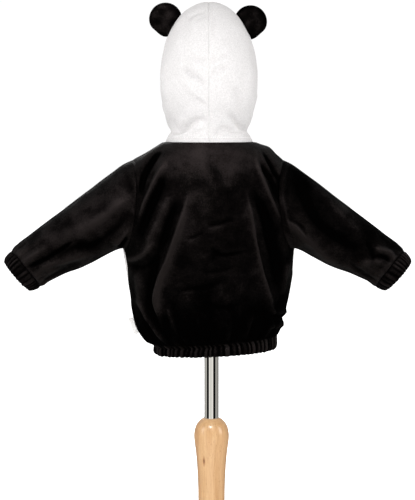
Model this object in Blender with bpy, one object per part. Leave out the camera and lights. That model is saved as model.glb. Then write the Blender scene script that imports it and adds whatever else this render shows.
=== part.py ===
"""A toddler's panda costume, hooded jacket of black and white velour, on its dress form and stand.

Metres, +Z up. The origin is on the floor under the pole. The jacket's front faces -Y and the
wearer's left is +X. All cloth is one surface of rings and ribs, cut along its seams into panels.
"""

from collections import namedtuple
from math import asin, cos, hypot, pi, radians, sin, sqrt

import bpy
from mathutils import Matrix, Vector

MM = 0.001

# Driving dimensions
HEM_HEIGHT = 500 * MM  # floor to the hem, which the tables below count their heights from
WALL = 2.0 * MM  # velour
BAND_WALL = 3.0 * MM  # velour turned over elastic
SEAM_GAP = 0.3 * MM
SHOULDER_CENTRE = 6.5 * MM  # the jacket hangs a little to the wearer's left of the pole
POLE_RADIUS = 12.5 * MM
COLUMN_TOP = 391 * MM
BASE_RADIUS = 150 * MM
BASE_THICK = 24 * MM

# Counts of points
QUARTER = 9  # columns in a quarter of a ring
SIDE = 2  # more columns each side of the side seam, under the armhole
FULL = 4 * QUARTER

# Colours and finishes: base colour, metallic, roughness
FINISHES = {
    "velour_black": ((0.012, 0.010, 0.010), 0.0, 0.95),
    "velour_white": ((0.88, 0.87, 0.87), 0.0, 0.9),
    "form_cloth": ((0.72, 0.68, 0.60), 0.0, 0.9),
    "label_satin": ((0.86, 0.85, 0.83), 0.0, 0.5),
    "chrome": ((0.78, 0.78, 0.77), 1.0, 0.08),
    "beech": ((0.68, 0.45, 0.24), 0.0, 0.35),
}

# Rows of the jacket's body in millimetres. height is over the hem, centre and half place the
# row's width, back and front are depths, drop lowers the centre front, tilt is slope along X,
# seam_left and seam_right turn the side seams backwards in degrees, and full squares it up.
Row = namedtuple("Row", "height centre half back front drop tilt seam_left seam_right full")
BODY = [
    Row(25.5, -6.5, 104.5, 76, 74, 0, -0.070, 0, 0, 2.1),
    Row(33, -0.8, 112.7, 84, 82, 0, -0.060, 0, 0, 2.1),
    Row(44, 3.2, 118.5, 92, 91, 0, -0.045, 0, 0, 2.15),
    Row(60, 4.3, 126, 99, 98, 0, -0.030, 0, 0, 2.2),
    Row(82, 4.3, 132, 103, 103, 0, -0.015, 0, 0, 2.2),
    Row(108, 3.0, 137.5, 104, 106, 0, 0, 2, 0, 2.2),
    Row(136, 3.5, 142, 102, 106, 0, 0, 11, 0, 2.2),
    Row(160, 4.3, 144.5, 99, 103, 0, 0, 15, 5, 2.2),
    Row(180, 4.8, 147, 98, 101, 0, 0, 14, 10, 2.2),
    Row(190, 5.0, 148.5, 97, 100, 0, 0, 9, 8, 2.2),
    Row(202, 5.5, 154, 96, 99, 1, 0, 0, 0, 2.15),
    Row(225, 6.5, 165, 93, 96, 3, 0, 0, 0, 2.1),
    Row(262, 6.5, 171, 89, 91, 9, 0, 0, 0, 2.05),
    Row(298, 6.5, 165, 83, 85, 16, 0, 0, 0, 2.0),
    Row(322, 6.5, 148, 77, 80, 21, 0, 0, 0, 2.0),
    Row(339, 6.5, 129, 71, 75, 25, 0, 0, 0, 2.0),
    Row(349.5, 3.0, 113.5, 68, 71, 27, 0, 0, 0, 2.0),
    Row(359.5, 2.0, 96.5, 64.5, 67, 29, 0, 0, 0, 2.0),
    Row(370, 4.0, 75, 60, 62, 30, 0, 0, 0, 2.0),
]
ARMPIT, SHOULDER_TIP = 190, 339
LOWER_HEIGHTS = [25.5, 33, 44, 60, 82, 108, 136, 160, 180]
ARM_HEIGHTS = [190, 201, 214, 236, 265, 297, 322, 339]
SHOULDER_HEIGHTS = [349.5, 359.5, 370]

# The armhole seam's distance from the shoulder centre, by height over the hem
Armhole = namedtuple("Armhole", "height reach")
ARMHOLE = [
    Armhole(190, 139), Armhole(201, 133.5), Armhole(214, 128.5), Armhole(233, 124),
    Armhole(258, 121), Armhole(290, 120), Armhole(317, 122.5), Armhole(339, 129),
]
ARM_STEPS = len(ARM_HEIGHTS) - 1 + SIDE  # from the side seam to the shoulder tip

# Sections of the sleeve as its upper and lower edge, seen from behind, and half its depth.
# out is from the shoulder centre, up is over the hem, and keep is the share of the armhole's
# own shape that a section still has. The first is the armhole itself.
Section = namedtuple("Section", "upper_out upper_up lower_out lower_up depth keep")
SLEEVE = [
    Section(129, 339, 146, 190, 63, 1.0),
    Section(145.5, 331, 153, 187, 63, 0.72),
    Section(162.5, 319, 161.5, 183, 62, 0.42),
    Section(181.5, 305, 171.5, 177.5, 60, 0.2),
    Section(203.5, 288.3, 183.5, 171, 57.5, 0.07),
    Section(227.5, 270, 200, 162, 54.5, 0),
    Section(253.5, 250.5, 221, 152.5, 52, 0),
    Section(280.5, 230.5, 244, 144.5, 49, 0),
    Section(305.5, 211.5, 264, 135.5, 45.5, 0),
    Section(325.5, 195.5, 280, 128, 41, 0),
    Section(339, 181.5, 290, 120.5, 37, 0),
]
CUFF = [
    Section(343, 177.5, 294.5, 118, 36, 0),
    Section(348.5, 170.5, 301.5, 115, 35, 0),
    Section(350.5, 163, 308, 114, 31.5, 0),
]

# The hem's elastic band below the body's first row: how far below, how much wider, and by how
# much its slope along X is less
Band = namedtuple("Band", "below wider level")
HEM_BAND = [Band(5, 2, 0.005), Band(12, 2, 0.013), Band(17.5, -1, 0.022)]

# Ribs of the hood, each from the throat round to the centre seam. seam_back and seam_up are
# the seam's place, half the rib's half width, lift raises its side, and throat_* its start.
Rib = namedtuple("Rib", "seam_back seam_up half lift throat_up throat_out throat_front")
HOOD = [
    Rib(57, 379, 70.5, 17, 343, 2, 64),
    Rib(56, 391, 64.5, 18, 345, 3, 65),
    Rib(64, 412, 67, 18, 347.5, 4.5, 67),
    Rib(78, 438, 72, 16, 350, 6, 69),
    Rib(90, 469, 75.5, 13, 353, 7.5, 71),
    Rib(95, 504, 78.5, 10, 356, 9, 73),
    Rib(88, 542, 82, 7, 359, 10, 75),
    Rib(68, 574, 83, 4, 362, 11, 77),
    Rib(38, 597, 83, 2, 365, 12, 79),
    Rib(4, 607, 81, 1, 368, 13, 81),
    Rib(-30, 605, 77.5, 0, 371, 14, 83),
    Rib(-60, 594, 73, 0, 374, 15, 84),
]
HOOD_CENTRE = 4.8 * MM
HOOD_FULLNESS = 0.97  # below 1 the ribs are fuller than ellipses

# Ears: a round pad whose centre and lean are seen from behind, on the hood's side
Ear = namedtuple("Ear", "name out up")
EARS = [Ear("ear_left", 73.5, 578), Ear("ear_right", -71, 573.5)]
EAR_BACK = 2 * MM
EAR_RADIUS, EAR_HALF_THICK, EAR_EDGE = 28 * MM, 7.5 * MM, 1.3 * MM
EAR_RINGS, EAR_SIDES = 5, 24

# The blank label in the left side seam
LABEL_LOW, LABEL_HIGH, LABEL_REACH, LABEL_THICK = 42 * MM, 68 * MM, 10 * MM, 1.0 * MM
LABEL_CLEAR = 0.5 * MM

# The dress form's rings in millimetres over the hem. Its upper rings follow the body's rows,
# so far inside them, until it carries the velour on its shoulders.
FormRing = namedtuple("FormRing", "height half back front")
FORM_LOWER = [
    FormRing(24, 74, 52, 52), FormRing(28, 80, 57, 57), FormRing(40, 85, 62, 62),
    FormRing(75, 88, 65, 66), FormRing(120, 84, 61, 66), FormRing(165, 86, 62, 67),
    FormRing(215, 93, 65, 69), FormRing(265, 100, 67, 70),
]
FormRow = namedtuple("FormRow", "height half inset")
FORM_UPPER = [FormRow(300, 103, 16), FormRow(322, 107, 10), FormRow(338, 108.5, 7)]
FORM_SHOULDERS = [349.5, 359.5, 366]
FORM_NECK = [
    FormRing(374, 46, 42, 44), FormRing(381, 40, 38, 38), FormRing(412, 37, 38, 38),
]
FORM_INSET = 2.95
SOCKET_DEPTH = 60 * MM
HEAD_CENTRE = (4.8 * MM, -8 * MM, 503.5 * MM)
HEAD_HALF = (70 * MM, 72 * MM, 100.1 * MM)
HEAD_FLAT = 412.3 * MM  # its flat underside, over the hem

# The column's outline: radius by depth below its top, then the foot on the base
Turned = namedtuple("Turned", "down radius")
COLUMN = [
    Turned(0, 14.5), Turned(3, 18.5), Turned(8, 23.5), Turned(14, 27), Turned(21, 29.2),
    Turned(29, 30.3), Turned(36, 30.1), Turned(46, 29), Turned(58, 27.4), Turned(72, 26),
    Turned(90, 24.7), Turned(115, 23.6), Turned(150, 23), Turned(300, 23), Turned(342, 24.5),
    Turned(366.7, 28),
]
BORE_DEPTH = 40 * MM
TURN_SIDES = 36


def table_value(table, name, height):
    """A column of a table at any height, on a smooth curve through its rows."""
    last = len(table) - 1
    at = next((i for i in range(last) if height <= table[i + 1].height), last - 1)

    def slope(i):
        low, high = max(i - 1, 0), min(i + 1, last)
        rise = getattr(table[high], name) - getattr(table[low], name)
        return rise / (table[high].height - table[low].height)

    low, high = table[at], table[at + 1]
    span = high.height - low.height
    t = (height - low.height) / span
    a, b = getattr(low, name), getattr(high, name)
    ends = a * (2 * t**3 - 3 * t**2 + 1) + b * (3 * t**2 - 2 * t**3)
    return ends + span * (slope(at) * (t**3 - 2 * t**2 + t) + slope(at + 1) * (t**3 - t**2))


def body_row(height):
    """The body's row at any height over the hem."""
    values = {name: table_value(BODY, name, height) for name in Row._fields[1:]}
    return Row(height=height, **values)


def body_point(row, angle):
    """A point of a row, in metres. angle is 0 at centre front and 180 degrees at centre back."""
    power = 2 / row.full
    side, ahead = sin(angle), cos(angle)
    x = row.centre + row.half * (1 if side > 0 else -1) * abs(side) ** power
    depth = row.front if ahead > 0 else row.back
    y = -depth * (1 if ahead > 0 else -1) * abs(ahead) ** power
    z = row.height + row.tilt * x - (row.drop * ahead**2 if ahead > 0 else 0)
    return Vector((x * MM, y * MM, z * MM + HEM_HEIGHT))


def spaced(first, last, steps):
    """Angles from first to last in even steps."""
    return [first + (last - first) * i / steps for i in range(steps + 1)]


def half_angles(row, seam_turn):
    """Angles of a half row's points, from centre front to the seam and on to centre back."""
    if row.height >= SHOULDER_TIP:
        return spaced(0, pi / 2, QUARTER), spaced(pi / 2, pi, QUARTER)
    reach = table_value(ARMHOLE, "reach", max(row.height, ARMPIT))
    widest = row.half if row.height > ARMPIT else body_row(ARMPIT).half
    edge = asin((reach / widest) ** (row.full / 2))
    ahead, behind = spaced(0, edge, QUARTER), spaced(pi - edge, pi, QUARTER)
    if row.height > ARMPIT:
        return ahead, behind
    seam = radians(90 + seam_turn)
    ahead += spaced(edge, seam, SIDE)[1:]
    return ahead, spaced(seam, pi - edge, SIDE)[:-1] + behind


def row_points(row):
    """Left front, whole back and right front of a row, each as a list of points."""
    left_front, left_back = half_angles(row, row.seam_left)
    right_front, right_back = half_angles(row, row.seam_right)
    return (
        [body_point(row, a) for a in left_front],
        [body_point(row, a) for a in left_back]
        + [body_point(row, -a) for a in reversed(right_back[:-1])],
        [body_point(row, -a) for a in reversed(right_front)],
    )


def armhole_loop(armpit, above, side):
    """The armhole's points from the side seam up its back edge and down its front edge."""
    front_left, back, front_right = armpit
    if side > 0:
        behind, ahead = back[: SIDE + 1], front_left[::-1][: SIDE + 1]
        back_edge, front_edge = [r[1][0] for r in above], [r[0][-1] for r in above]
    else:
        behind, ahead = back[::-1][: SIDE + 1], front_right[: SIDE + 1]
        back_edge, front_edge = [r[1][-1] for r in above], [r[2][0] for r in above]
    return behind + back_edge + front_edge[-2::-1] + ahead[:0:-1]


def sleeve_ring(section, side):
    """A ring of the sleeve, from under the arm up its back and down its front."""
    upper = Vector((section.upper_out, 0, section.upper_up))
    lower = Vector((section.lower_out, 0, section.lower_up))
    centre, arm = (upper + lower) / 2, (lower - upper) / 2
    ring = []
    for i in range(2 * ARM_STEPS):
        angle = pi * i / ARM_STEPS
        p = centre + arm * cos(angle) + Vector((0, section.depth * sin(angle), 0))
        ring.append(Vector((side * p.x * MM + SHOULDER_CENTRE, p.y * MM, p.z * MM + HEM_HEIGHT)))
    return ring


def sleeve_rings(loop, side):
    """The sleeve's rings from the armhole on, which take up their own shape step by step."""
    armhole = sleeve_ring(SLEEVE[0], side)
    own = [p - q for p, q in zip(loop, armhole)]
    return [[p + o * s.keep for p, o in zip(sleeve_ring(s, side), own)] for s in SLEEVE]


def hood_rib(rib):
    """A rib of the hood from the throat on the wearer's left, over the seam, to the right."""
    throat_y = -rib.throat_front
    left = []
    for i in range(2 * QUARTER + 1):
        angle = pi * i / (2 * QUARTER)
        share = (1 - cos(angle)) / 2
        start = rib.throat_out * (1 - share) ** 2
        x = start + (rib.half - start) * sin(angle) ** HOOD_FULLNESS
        y = throat_y + (rib.seam_back - throat_y) * share
        z = rib.throat_up + (rib.seam_up - rib.throat_up) * share + rib.lift * sin(angle) ** 2
        left.append(Vector((x * MM, y * MM, z * MM + HEM_HEIGHT)))
    left[-1].x = 0
    right = [Vector((-p.x, p.y, p.z)) for p in reversed(left[:-1])]
    return [p + Vector((HOOD_CENTRE, 0, 0)) for p in left + right]


def band_ring(row_ring, band):
    """The hem band's ring under the body's first row."""
    ring = []
    for p in row_ring:
        away = hypot(p.x, p.y)
        wide = 1 + band.wider * MM / away
        ring.append(Vector((p.x * wide, p.y * wide, p.z + band.level * p.x - band.below * MM)))
    return ring


class Cloth:
    """One surface of quads, each belonging to a panel. Points at one place share a normal."""

    def __init__(self):
        self.points = []
        self.panels = {}
        self.normals = {}

    def add_grid(self, panel, rows, closed=False):
        """Adds quads between neighbouring rows of points, all of them facing out."""
        start = len(self.points)
        count = len(rows[0])
        for row in rows:
            self.points.extend(row)
        steps = count if closed else count - 1
        for r in range(len(rows) - 1):
            for c in range(steps):
                a, b = start + r * count + c, start + r * count + (c + 1) % count
                self.panels.setdefault(panel, []).append((a, b, b + count, a + count))

    @staticmethod
    def place(point):
        """A key that points at one place share."""
        return tuple(round(v / (0.01 * MM)) for v in point)

    def find_normals(self):
        for faces in self.panels.values():
            for face in faces:
                corners = [self.points[i] for i in face]
                across = (corners[2] - corners[0]).cross(corners[3] - corners[1])
                for corner in corners:
                    key = self.place(corner)
                    self.normals[key] = self.normals.get(key, Vector()) + across

    def normal(self, point):
        return self.normals[self.place(point)].normalized()

    def solid(self, name, wall):
        """A panel's vertices and faces as a closed wall, drawn in from its seams by half a gap."""
        faces = self.panels[name]
        weld, points, welded = {}, [], []
        for face in faces:
            quad = []
            for i in face:
                key = i if name == "hem_band" else self.place(self.points[i])
                if key not in weld:
                    weld[key] = len(points)
                    points.append(self.points[i])
                quad.append(weld[key])
            welded.append(tuple(dict.fromkeys(quad)))
        edges = {}
        for face in welded:
            for a, b in zip(face, face[1:] + face[:1]):
                edges[(a, b)] = True
        rim = [edge for edge in edges if (edge[1], edge[0]) not in edges]
        inward = {i: Vector() for edge in rim for i in edge}
        for face in welded:
            middle = sum((points[i] for i in face), Vector()) / len(face)
            for i in face:
                if i in inward:
                    inward[i] += (middle - points[i]).normalized()
        outer = [p + inward[i].normalized() * SEAM_GAP / 2 if i in inward else p
                 for i, p in enumerate(points)]
        inner = [o - self.normal(p) * wall for o, p in zip(outer, points)]
        count = len(points)
        shell = list(welded) + [tuple(i + count for i in reversed(f)) for f in welded]
        for a, b in rim:
            # Both sides of a seam split its twisted edge the same way, so they never touch
            if self.place(points[a]) < self.place(points[b]):
                shell += [(b, a, b + count), (a, a + count, b + count)]
            else:
                shell += [(b, a, a + count), (b, a + count, b + count)]
        return outer + inner, shell


def make_material(name):
    colour, metallic, roughness = FINISHES[name]
    material = bpy.data.materials.new(name)
    material.use_nodes = True
    shader = material.node_tree.nodes["Principled BSDF"]
    shader.inputs["Base Color"].default_value = (*colour, 1)
    shader.inputs["Metallic"].default_value = metallic
    shader.inputs["Roughness"].default_value = roughness
    return material


def make_object(name, points, faces, material):
    mesh = bpy.data.meshes.new(name)
    mesh.from_pydata([tuple(p) for p in points], [], faces)
    mesh.validate()
    mesh.materials.append(material)
    mesh.shade_smooth()
    mesh.set_sharp_from_angle(angle=radians(50))
    obj = bpy.data.objects.new(name, mesh)
    bpy.context.scene.collection.objects.link(obj)
    return obj


def rings_solid(rings):
    """Faces of a closed body through rings, with flat ends."""
    count = len(rings[0])
    faces = [tuple(reversed(range(count)))]
    for r in range(len(rings) - 1):
        for c in range(count):
            d = (c + 1) % count
            a, b = r * count + c, r * count + d
            faces.append((a, b, b + count, a + count))
    last = (len(rings) - 1) * count
    faces.append(tuple(range(last, last + count)))
    return [p for ring in rings for p in ring], faces


def flat_ring(radius_x, back, front, height, centre=0.0, sides=FULL):
    """A level ring with its own depth behind and in front, turning from front to left."""
    ring = []
    for i in range(sides):
        angle = 2 * pi * i / sides
        depth = front if cos(angle) > 0 else back
        ring.append(Vector((centre + radius_x * sin(angle), -depth * cos(angle), height)))
    return ring


def cut(obj, tool):
    """Subtracts a tool, which stays in the file as a hidden guide."""
    tool.hide_render = True
    tool.display_type = "WIRE"
    modifier = obj.modifiers.new("Cut", "BOOLEAN")
    modifier.operation = "DIFFERENCE"
    modifier.object = tool


def round_tool(name, radius, low, high, material):
    rings = [flat_ring(radius, radius, radius, z, sides=TURN_SIDES) for z in (low, high)]
    return make_object(name, *rings_solid(rings), material)


def build_cloth():
    """Lays all the panels on one surface and finds its normals."""
    cloth = Cloth()
    rows = [row_points(body_row(h)) for h in LOWER_HEIGHTS + ARM_HEIGHTS[:1]]
    above = [row_points(body_row(h)) for h in ARM_HEIGHTS[1:] + SHOULDER_HEIGHTS]
    left, back, right = rows[-1]
    kept = (left[: QUARTER + 1], back[SIDE:-SIDE], right[SIDE:])
    for panel, part in (("front_left", 0), ("back", 1), ("front_right", 2)):
        cloth.add_grid(panel, [row[part] for row in rows])
        cloth.add_grid(panel, [row[part] for row in [kept] + above])
    for side, name in ((1, "left"), (-1, "right")):
        loop = armhole_loop(rows[-1], above[: len(ARM_HEIGHTS) - 1], side)
        sleeve = sleeve_rings(loop, side)
        cuff = [sleeve[-1]] + [sleeve_ring(s, side) for s in CUFF]
        for panel, rings in (("sleeve_" + name, sleeve), ("cuff_" + name, cuff)):
            if side < 0:
                rings = [[ring[0]] + ring[:0:-1] for ring in rings]
            cloth.add_grid(panel, rings, closed=True)
    first = rows[0][0] + rows[0][1][1:-1] + rows[0][2]
    bands = [band_ring(first, band) for band in reversed(HEM_BAND)] + [first]
    cloth.add_grid("hem_band", bands)
    last = above[-1][0] + above[-1][1][1:-1] + above[-1][2]
    ribs = [last] + [hood_rib(rib) for rib in HOOD]
    middle = 2 * QUARTER
    cloth.add_grid("hood_left", [rib[: middle + 1] for rib in ribs])
    cloth.add_grid("hood_right", [rib[middle:] for rib in ribs])
    cloth.find_normals()
    return cloth, ribs, rows


def hood_volume(cloth, ribs, material):
    """The hood filled to just outside its cloth, which trims the ears to its surface."""
    rings = [[p + cloth.normal(p) * SEAM_GAP for p in rib] for rib in ribs]
    return make_object("hood_volume", *rings_solid(rings), material)


def build_ear(place, volume, material):
    """A round pad standing on the hood's side, trimmed to the hood."""
    rings = []
    for face in (-1, 1):
        for i in range(EAR_RINGS):
            share = (i + 1) / EAR_RINGS if face < 0 else (EAR_RINGS - i) / EAR_RINGS
            half = EAR_EDGE + (EAR_HALF_THICK - EAR_EDGE) * sqrt(1 - share**2)
            rings.append([
                Vector((EAR_RADIUS * share * cos(2 * pi * s / EAR_SIDES), -face * half,
                        EAR_RADIUS * share * sin(2 * pi * s / EAR_SIDES)))
                for s in range(EAR_SIDES)
            ])
    points, faces = rings_solid(rings)
    ear = make_object(place.name, points, faces, material)
    ear.location = (HOOD_CENTRE + place.out * MM, EAR_BACK, place.up * MM + HEM_HEIGHT)
    cut(ear, volume)
    return ear


def build_label(rows, cloth, material):
    """The folded blank label, standing out of the left side seam."""
    seam = [row[0][-1] for row in rows]
    low, high = HEM_HEIGHT + LABEL_LOW, HEM_HEIGHT + LABEL_HIGH
    levels = [low] + [p.z for p in seam if low < p.z < high] + [high]
    points = []
    for level in levels:
        at = next(i for i in range(len(seam)) if seam[i + 1].z > level - 0.01 * MM)
        below, above = seam[at], seam[at + 1]
        p = below.lerp(above, (level - below.z) / (above.z - below.z))
        out = (cloth.normal(below) + cloth.normal(above)).normalized()
        along = out.cross(above - below).normalized()
        for reach in (LABEL_CLEAR, LABEL_CLEAR + LABEL_REACH):
            for half in (-LABEL_THICK / 2, LABEL_THICK / 2):
                points.append(p + out * reach + along * half)
    last = len(points) - 4
    faces = [(0, 2, 3, 1), (last, last + 1, last + 3, last + 2)]
    for k in range(0, last, 4):
        for a, b in ((0, 2), (2, 3), (3, 1), (1, 0)):
            faces.append((k + b, k + a, k + a + 4, k + b + 4))
    return make_object("side_label", points, faces, material)


def ring_angles():
    """Even angles round a row, from centre front by the wearer's left."""
    turns = [2 * pi * i / FULL for i in range(FULL)]
    return [a if a <= pi else a - 2 * pi for a in turns]


def inner_ring(row, inset):
    """A ring of points at one depth inside a row of the body, square to its surface."""
    ring = []
    other = body_row(row.height - 0.5)
    for angle in ring_angles():
        here = body_point(row, angle)
        across = body_point(row, angle + 0.01) - body_point(row, angle - 0.01)
        rise = here - body_point(other, angle)
        normal = across.cross(rise).normalized()
        ring.append(here - normal * inset * MM)
    return ring


def build_form(material):
    """The torso of the dress form, with a socket for the pole in its underside."""
    def plain(ring):
        return flat_ring(ring.half * MM, ring.back * MM, ring.front * MM,
                         ring.height * MM + HEM_HEIGHT, HOOD_CENTRE)

    rings = [plain(r) for r in FORM_LOWER]
    for upper in FORM_UPPER:
        row = body_row(upper.height)
        row = row._replace(half=upper.half, back=row.back - upper.inset,
                           front=row.front - upper.inset)
        rings.append([body_point(row, a) for a in ring_angles()])
    rings += [inner_ring(body_row(h), FORM_INSET) for h in FORM_SHOULDERS]
    rings += [plain(r) for r in FORM_NECK]
    form = make_object("form_torso", *rings_solid(rings), material)
    low = HEM_HEIGHT + FORM_LOWER[0].height * MM
    tool = round_tool("socket_tool", POLE_RADIUS + SEAM_GAP, low - 5 * MM, low + SOCKET_DEPTH,
                      material)
    cut(form, tool)
    return form


def build_head(material):
    """The smooth egg-shaped block that fills the hood, flat where it sits on the form's neck."""
    centre, half = Vector(HEAD_CENTRE), Vector(HEAD_HALF)
    lowest = (HEAD_FLAT - centre.z) / half.z
    count = 12
    first = asin(max(-1.0, lowest))
    rings = []
    for i in range(count):
        angle = first + (pi / 2 * 0.955 - first) * i / (count - 1)
        wide = cos(angle)
        height = HEM_HEIGHT + centre.z + half.z * sin(angle)
        ring = flat_ring(half.x * wide, half.y * wide, half.y * wide, height, centre.x)
        rings.append([p + Vector((0, centre.y, 0)) for p in ring])
    return make_object("head_block", *rings_solid(rings), material)


def build_stand(chrome, beech):
    """The chrome pole, the turned column that it stands in, and the round base."""
    form_low = HEM_HEIGHT + FORM_LOWER[0].height * MM
    pole_low = COLUMN_TOP - BORE_DEPTH + SEAM_GAP
    pole_high = form_low + SOCKET_DEPTH - SEAM_GAP
    round_tool("pole", POLE_RADIUS, pole_low, pole_high, chrome)
    rings = [flat_ring(t.radius * MM, t.radius * MM, t.radius * MM, COLUMN_TOP - t.down * MM,
                       sides=TURN_SIDES) for t in reversed(COLUMN)]
    column = make_object("column", *rings_solid(rings), beech)
    cut(column, round_tool("bore_tool", POLE_RADIUS + SEAM_GAP, COLUMN_TOP - BORE_DEPTH,
                           COLUMN_TOP + 5 * MM, beech))
    edge = 8 * MM
    profile = [(0, BASE_RADIUS - 1.5 * MM), (1.5 * MM, BASE_RADIUS)]
    for i in range(4):
        angle = pi / 2 * i / 3
        profile.append((BASE_THICK - edge + edge * sin(angle),
                        BASE_RADIUS - edge + edge * cos(angle)))
    rings = [flat_ring(r, r, r, z, sides=TURN_SIDES) for z, r in profile]
    make_object("base", *rings_solid(rings), beech)


def main():
    for obj in list(bpy.data.objects):
        bpy.data.objects.remove(obj)
    materials = {name: make_material(name) for name in FINISHES}
    black, white = materials["velour_black"], materials["velour_white"]
    cloth, ribs, rows = build_cloth()
    walls = {"cuff_left": BAND_WALL, "cuff_right": BAND_WALL, "hem_band": BAND_WALL}
    whites = ("front_left", "front_right", "hood_left", "hood_right")
    for panel in cloth.panels:
        points, faces = cloth.solid(panel, walls.get(panel, WALL))
        make_object(panel, points, faces, white if panel in whites else black)
    volume = hood_volume(cloth, ribs, white)
    for place in EARS:
        build_ear(place, volume, black)
    build_label(rows, cloth, materials["label_satin"])
    build_form(materials["form_cloth"])
    build_head(materials["form_cloth"])
    build_stand(materials["chrome"], materials["beech"])


main()
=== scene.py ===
"""Looks of the panda costume: every panel of velour as a thin, folded sheet on its solid's place.

Lengths are millimetres with heights over the hem until a mesh is made, as in the part's tables.
"""

from collections import namedtuple
from functools import cached_property
from math import asin, cos, pi, radians, sin, sqrt

import bpy
import numpy as np
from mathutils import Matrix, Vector
from mathutils.bvhtree import BVHTree
from mathutils.kdtree import KDTree

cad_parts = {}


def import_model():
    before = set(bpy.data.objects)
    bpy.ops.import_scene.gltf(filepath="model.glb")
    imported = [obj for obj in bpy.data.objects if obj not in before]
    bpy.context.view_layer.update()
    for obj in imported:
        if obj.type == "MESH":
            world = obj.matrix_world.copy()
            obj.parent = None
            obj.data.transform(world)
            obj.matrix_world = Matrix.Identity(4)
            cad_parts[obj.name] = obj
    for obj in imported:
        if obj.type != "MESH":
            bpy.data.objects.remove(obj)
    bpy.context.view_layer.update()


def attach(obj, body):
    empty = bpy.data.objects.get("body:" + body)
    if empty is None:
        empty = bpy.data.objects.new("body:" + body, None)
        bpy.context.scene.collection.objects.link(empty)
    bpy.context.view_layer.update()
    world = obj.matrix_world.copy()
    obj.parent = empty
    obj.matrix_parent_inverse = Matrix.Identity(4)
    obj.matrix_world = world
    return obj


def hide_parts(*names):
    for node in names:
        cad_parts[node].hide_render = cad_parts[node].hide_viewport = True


MM = 0.001
HEM_HEIGHT = 500
BLACK, WHITE = "velour_black", "velour_white"

# Studio, in metres: the soft light from all round, the floor's own glow, the soft boxes with what
# they aim at, their sizes and powers, and the greys that polished surfaces mirror, by the turn in
# degrees from -X over -Y; the camera stands at 270
WORLD_LIGHT = 0.42
FLOOR_GLOW = 1.0
FLOOR_HALF, FLOOR_LEVEL = 13.0, -0.0005
SURROUND = (14, -4, 14)  # radius, lower edge and upper edge
ROOM_WALL = (3.2, -1.8, 0.3)
Box = namedtuple("Box", "name place aim size power")
BOXES = [
    Box("key_box", (0.3, 1.9, 2.5), (0, 0, 0.8), (1.1, 0.8), 44),
    Box("left_box", (2.2, 1.0, 1.3), (0, 0, 0.75), (0.8, 1.4), 12.5),
    Box("right_box", (-2.2, 1.0, 1.3), (0, 0, 0.75), (0.8, 1.4), 15),
    Box("front_box", (0.4, -3.0, 2.0), (0, 0, 0.75), (1.4, 1.4), 38),
]
ROOM = [
    (0, 0.36), (12, 0.36), (30, 0.2), (60, 0.2), (90, 0.16), (120, 0.2), (145, 0.3), (155, 0.5),
    (187, 0.5), (190, 0.005), (226, 0.005), (229, 0.8), (240, 1.0), (252, 0.75), (262, 0.62),
    (272, 0.85), (285, 1.0), (295, 0.8), (298, 0.005), (333, 0.005), (336, 0.36), (360, 0.36),
]

# Camera: where it stands, what it looks at, in metres, and its lens on a frame 36 mm high
CAMERA_AT = (0.007, 2.6, 0.908)
CAMERA_AIM = (0.007, 0.0, 0.684)
CAMERA_LENS, FRAME_HIGH = 109, 36
PHOTO_WIDE, PHOTO_HIGH = 415, 500

# The part's own sizes; those of the stand are heights over the floor
SHOULDER_CENTRE, HOOD_CENTRE = 6.5, 4.8
HOOD_FULLNESS = 0.97
POLE_RADIUS, POLE_LOW, POLE_HIGH = 12.5, 351.3, 583.7
BORE_RADIUS = POLE_RADIUS + 0.3
COLUMN_TOP, COLUMN_BORE = 391, 39.7
BASE_RADIUS, BASE_THICK, BASE_EDGE = 150, 24, 8
WALL, BAND_WALL, LABEL_WALL = 1.9, 2.6, 0.3
SEAM_GAP, HOOD_GAP = 0.1, 0.0
SEAM_REACH = 1.6  # how near to each other the points of two panels are at a seam
CUFF_BEND = 7.0
EAR_BACK, EAR_RADIUS, EAR_HALF_THICK = 2, 28, 7.5
KNOT = (0.013, 0.0225, 0.319)
KNOT_SHAPE = (260, 120, 70)

# How finely cloth is laid out: spans of a half front or back, of the side under the arm and along
# the armhole, and steps in each span
QUARTER, SIDE, ARM_SPANS = 9, 2, 7
FINE = 8
ARM_STEPS = ARM_SPANS + SIDE

# Radii on which the gathers at the hem and at the cuffs are counted, and the turn's middle
HEM_RING, CUFF_RING, TURN_CENTRE = 100.0, 38, 4.0

# Stitches of the hood: how far from the neck seam and from the face edge, and their own sizes
NECK_STITCHES, FACE_STITCHES = 8.6, 13.0
STITCH_PITCH, STITCH_LENGTH, STITCH_RADIUS = 3.3, 2.5, 0.32


def rows_of(kind, text):
    """A table: a line of numbers for each row, in the order of the kind's names."""
    return [kind(*map(float, line.split())) for line in text.strip().splitlines()]


Row = namedtuple("Row", "height centre half back front drop tilt seam_left seam_right full")
BODY = rows_of(Row, """
25.5 -6.5 104.5 76 74 0 -0.070 0 0 2.1
33 -0.8 112.7 84 82 0 -0.060 0 0 2.1
44 3.2 118.5 92 91 0 -0.045 0 0 2.15
60 4.3 126 99 98 0 -0.030 0 0 2.2
82 4.3 132 103 103 0 -0.015 0 0 2.2
108 3 137.5 104 106 0 0 2 0 2.2
136 3.5 142 102 106 0 0 11 0 2.2
160 4.3 144.5 99 103 0 0 15 5 2.2
180 4.8 147 98 101 0 0 14 10 2.2
190 5 148.5 97 100 0 0 9 8 2.2
202 5.5 154 96 99 1 0 0 0 2.15
225 6.5 165 93 96 3 0 0 0 2.1
262 6.5 171 89 91 9 0 0 0 2.05
298 6.5 165 83 85 16 0 0 0 2
322 6.5 148 77 80 21 0 0 0 2
339 6.5 129 71 75 25 0 0 0 2
349.5 3 113.5 68 71 27 0 0 0 2
359.5 2 96.5 64.5 67 29 0 0 0 2
370 4 75 60 62 30 0 0 0 2
""")
ARMPIT, SHOULDER_TIP = 190, 339
BAND_SEAM = 31
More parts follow.
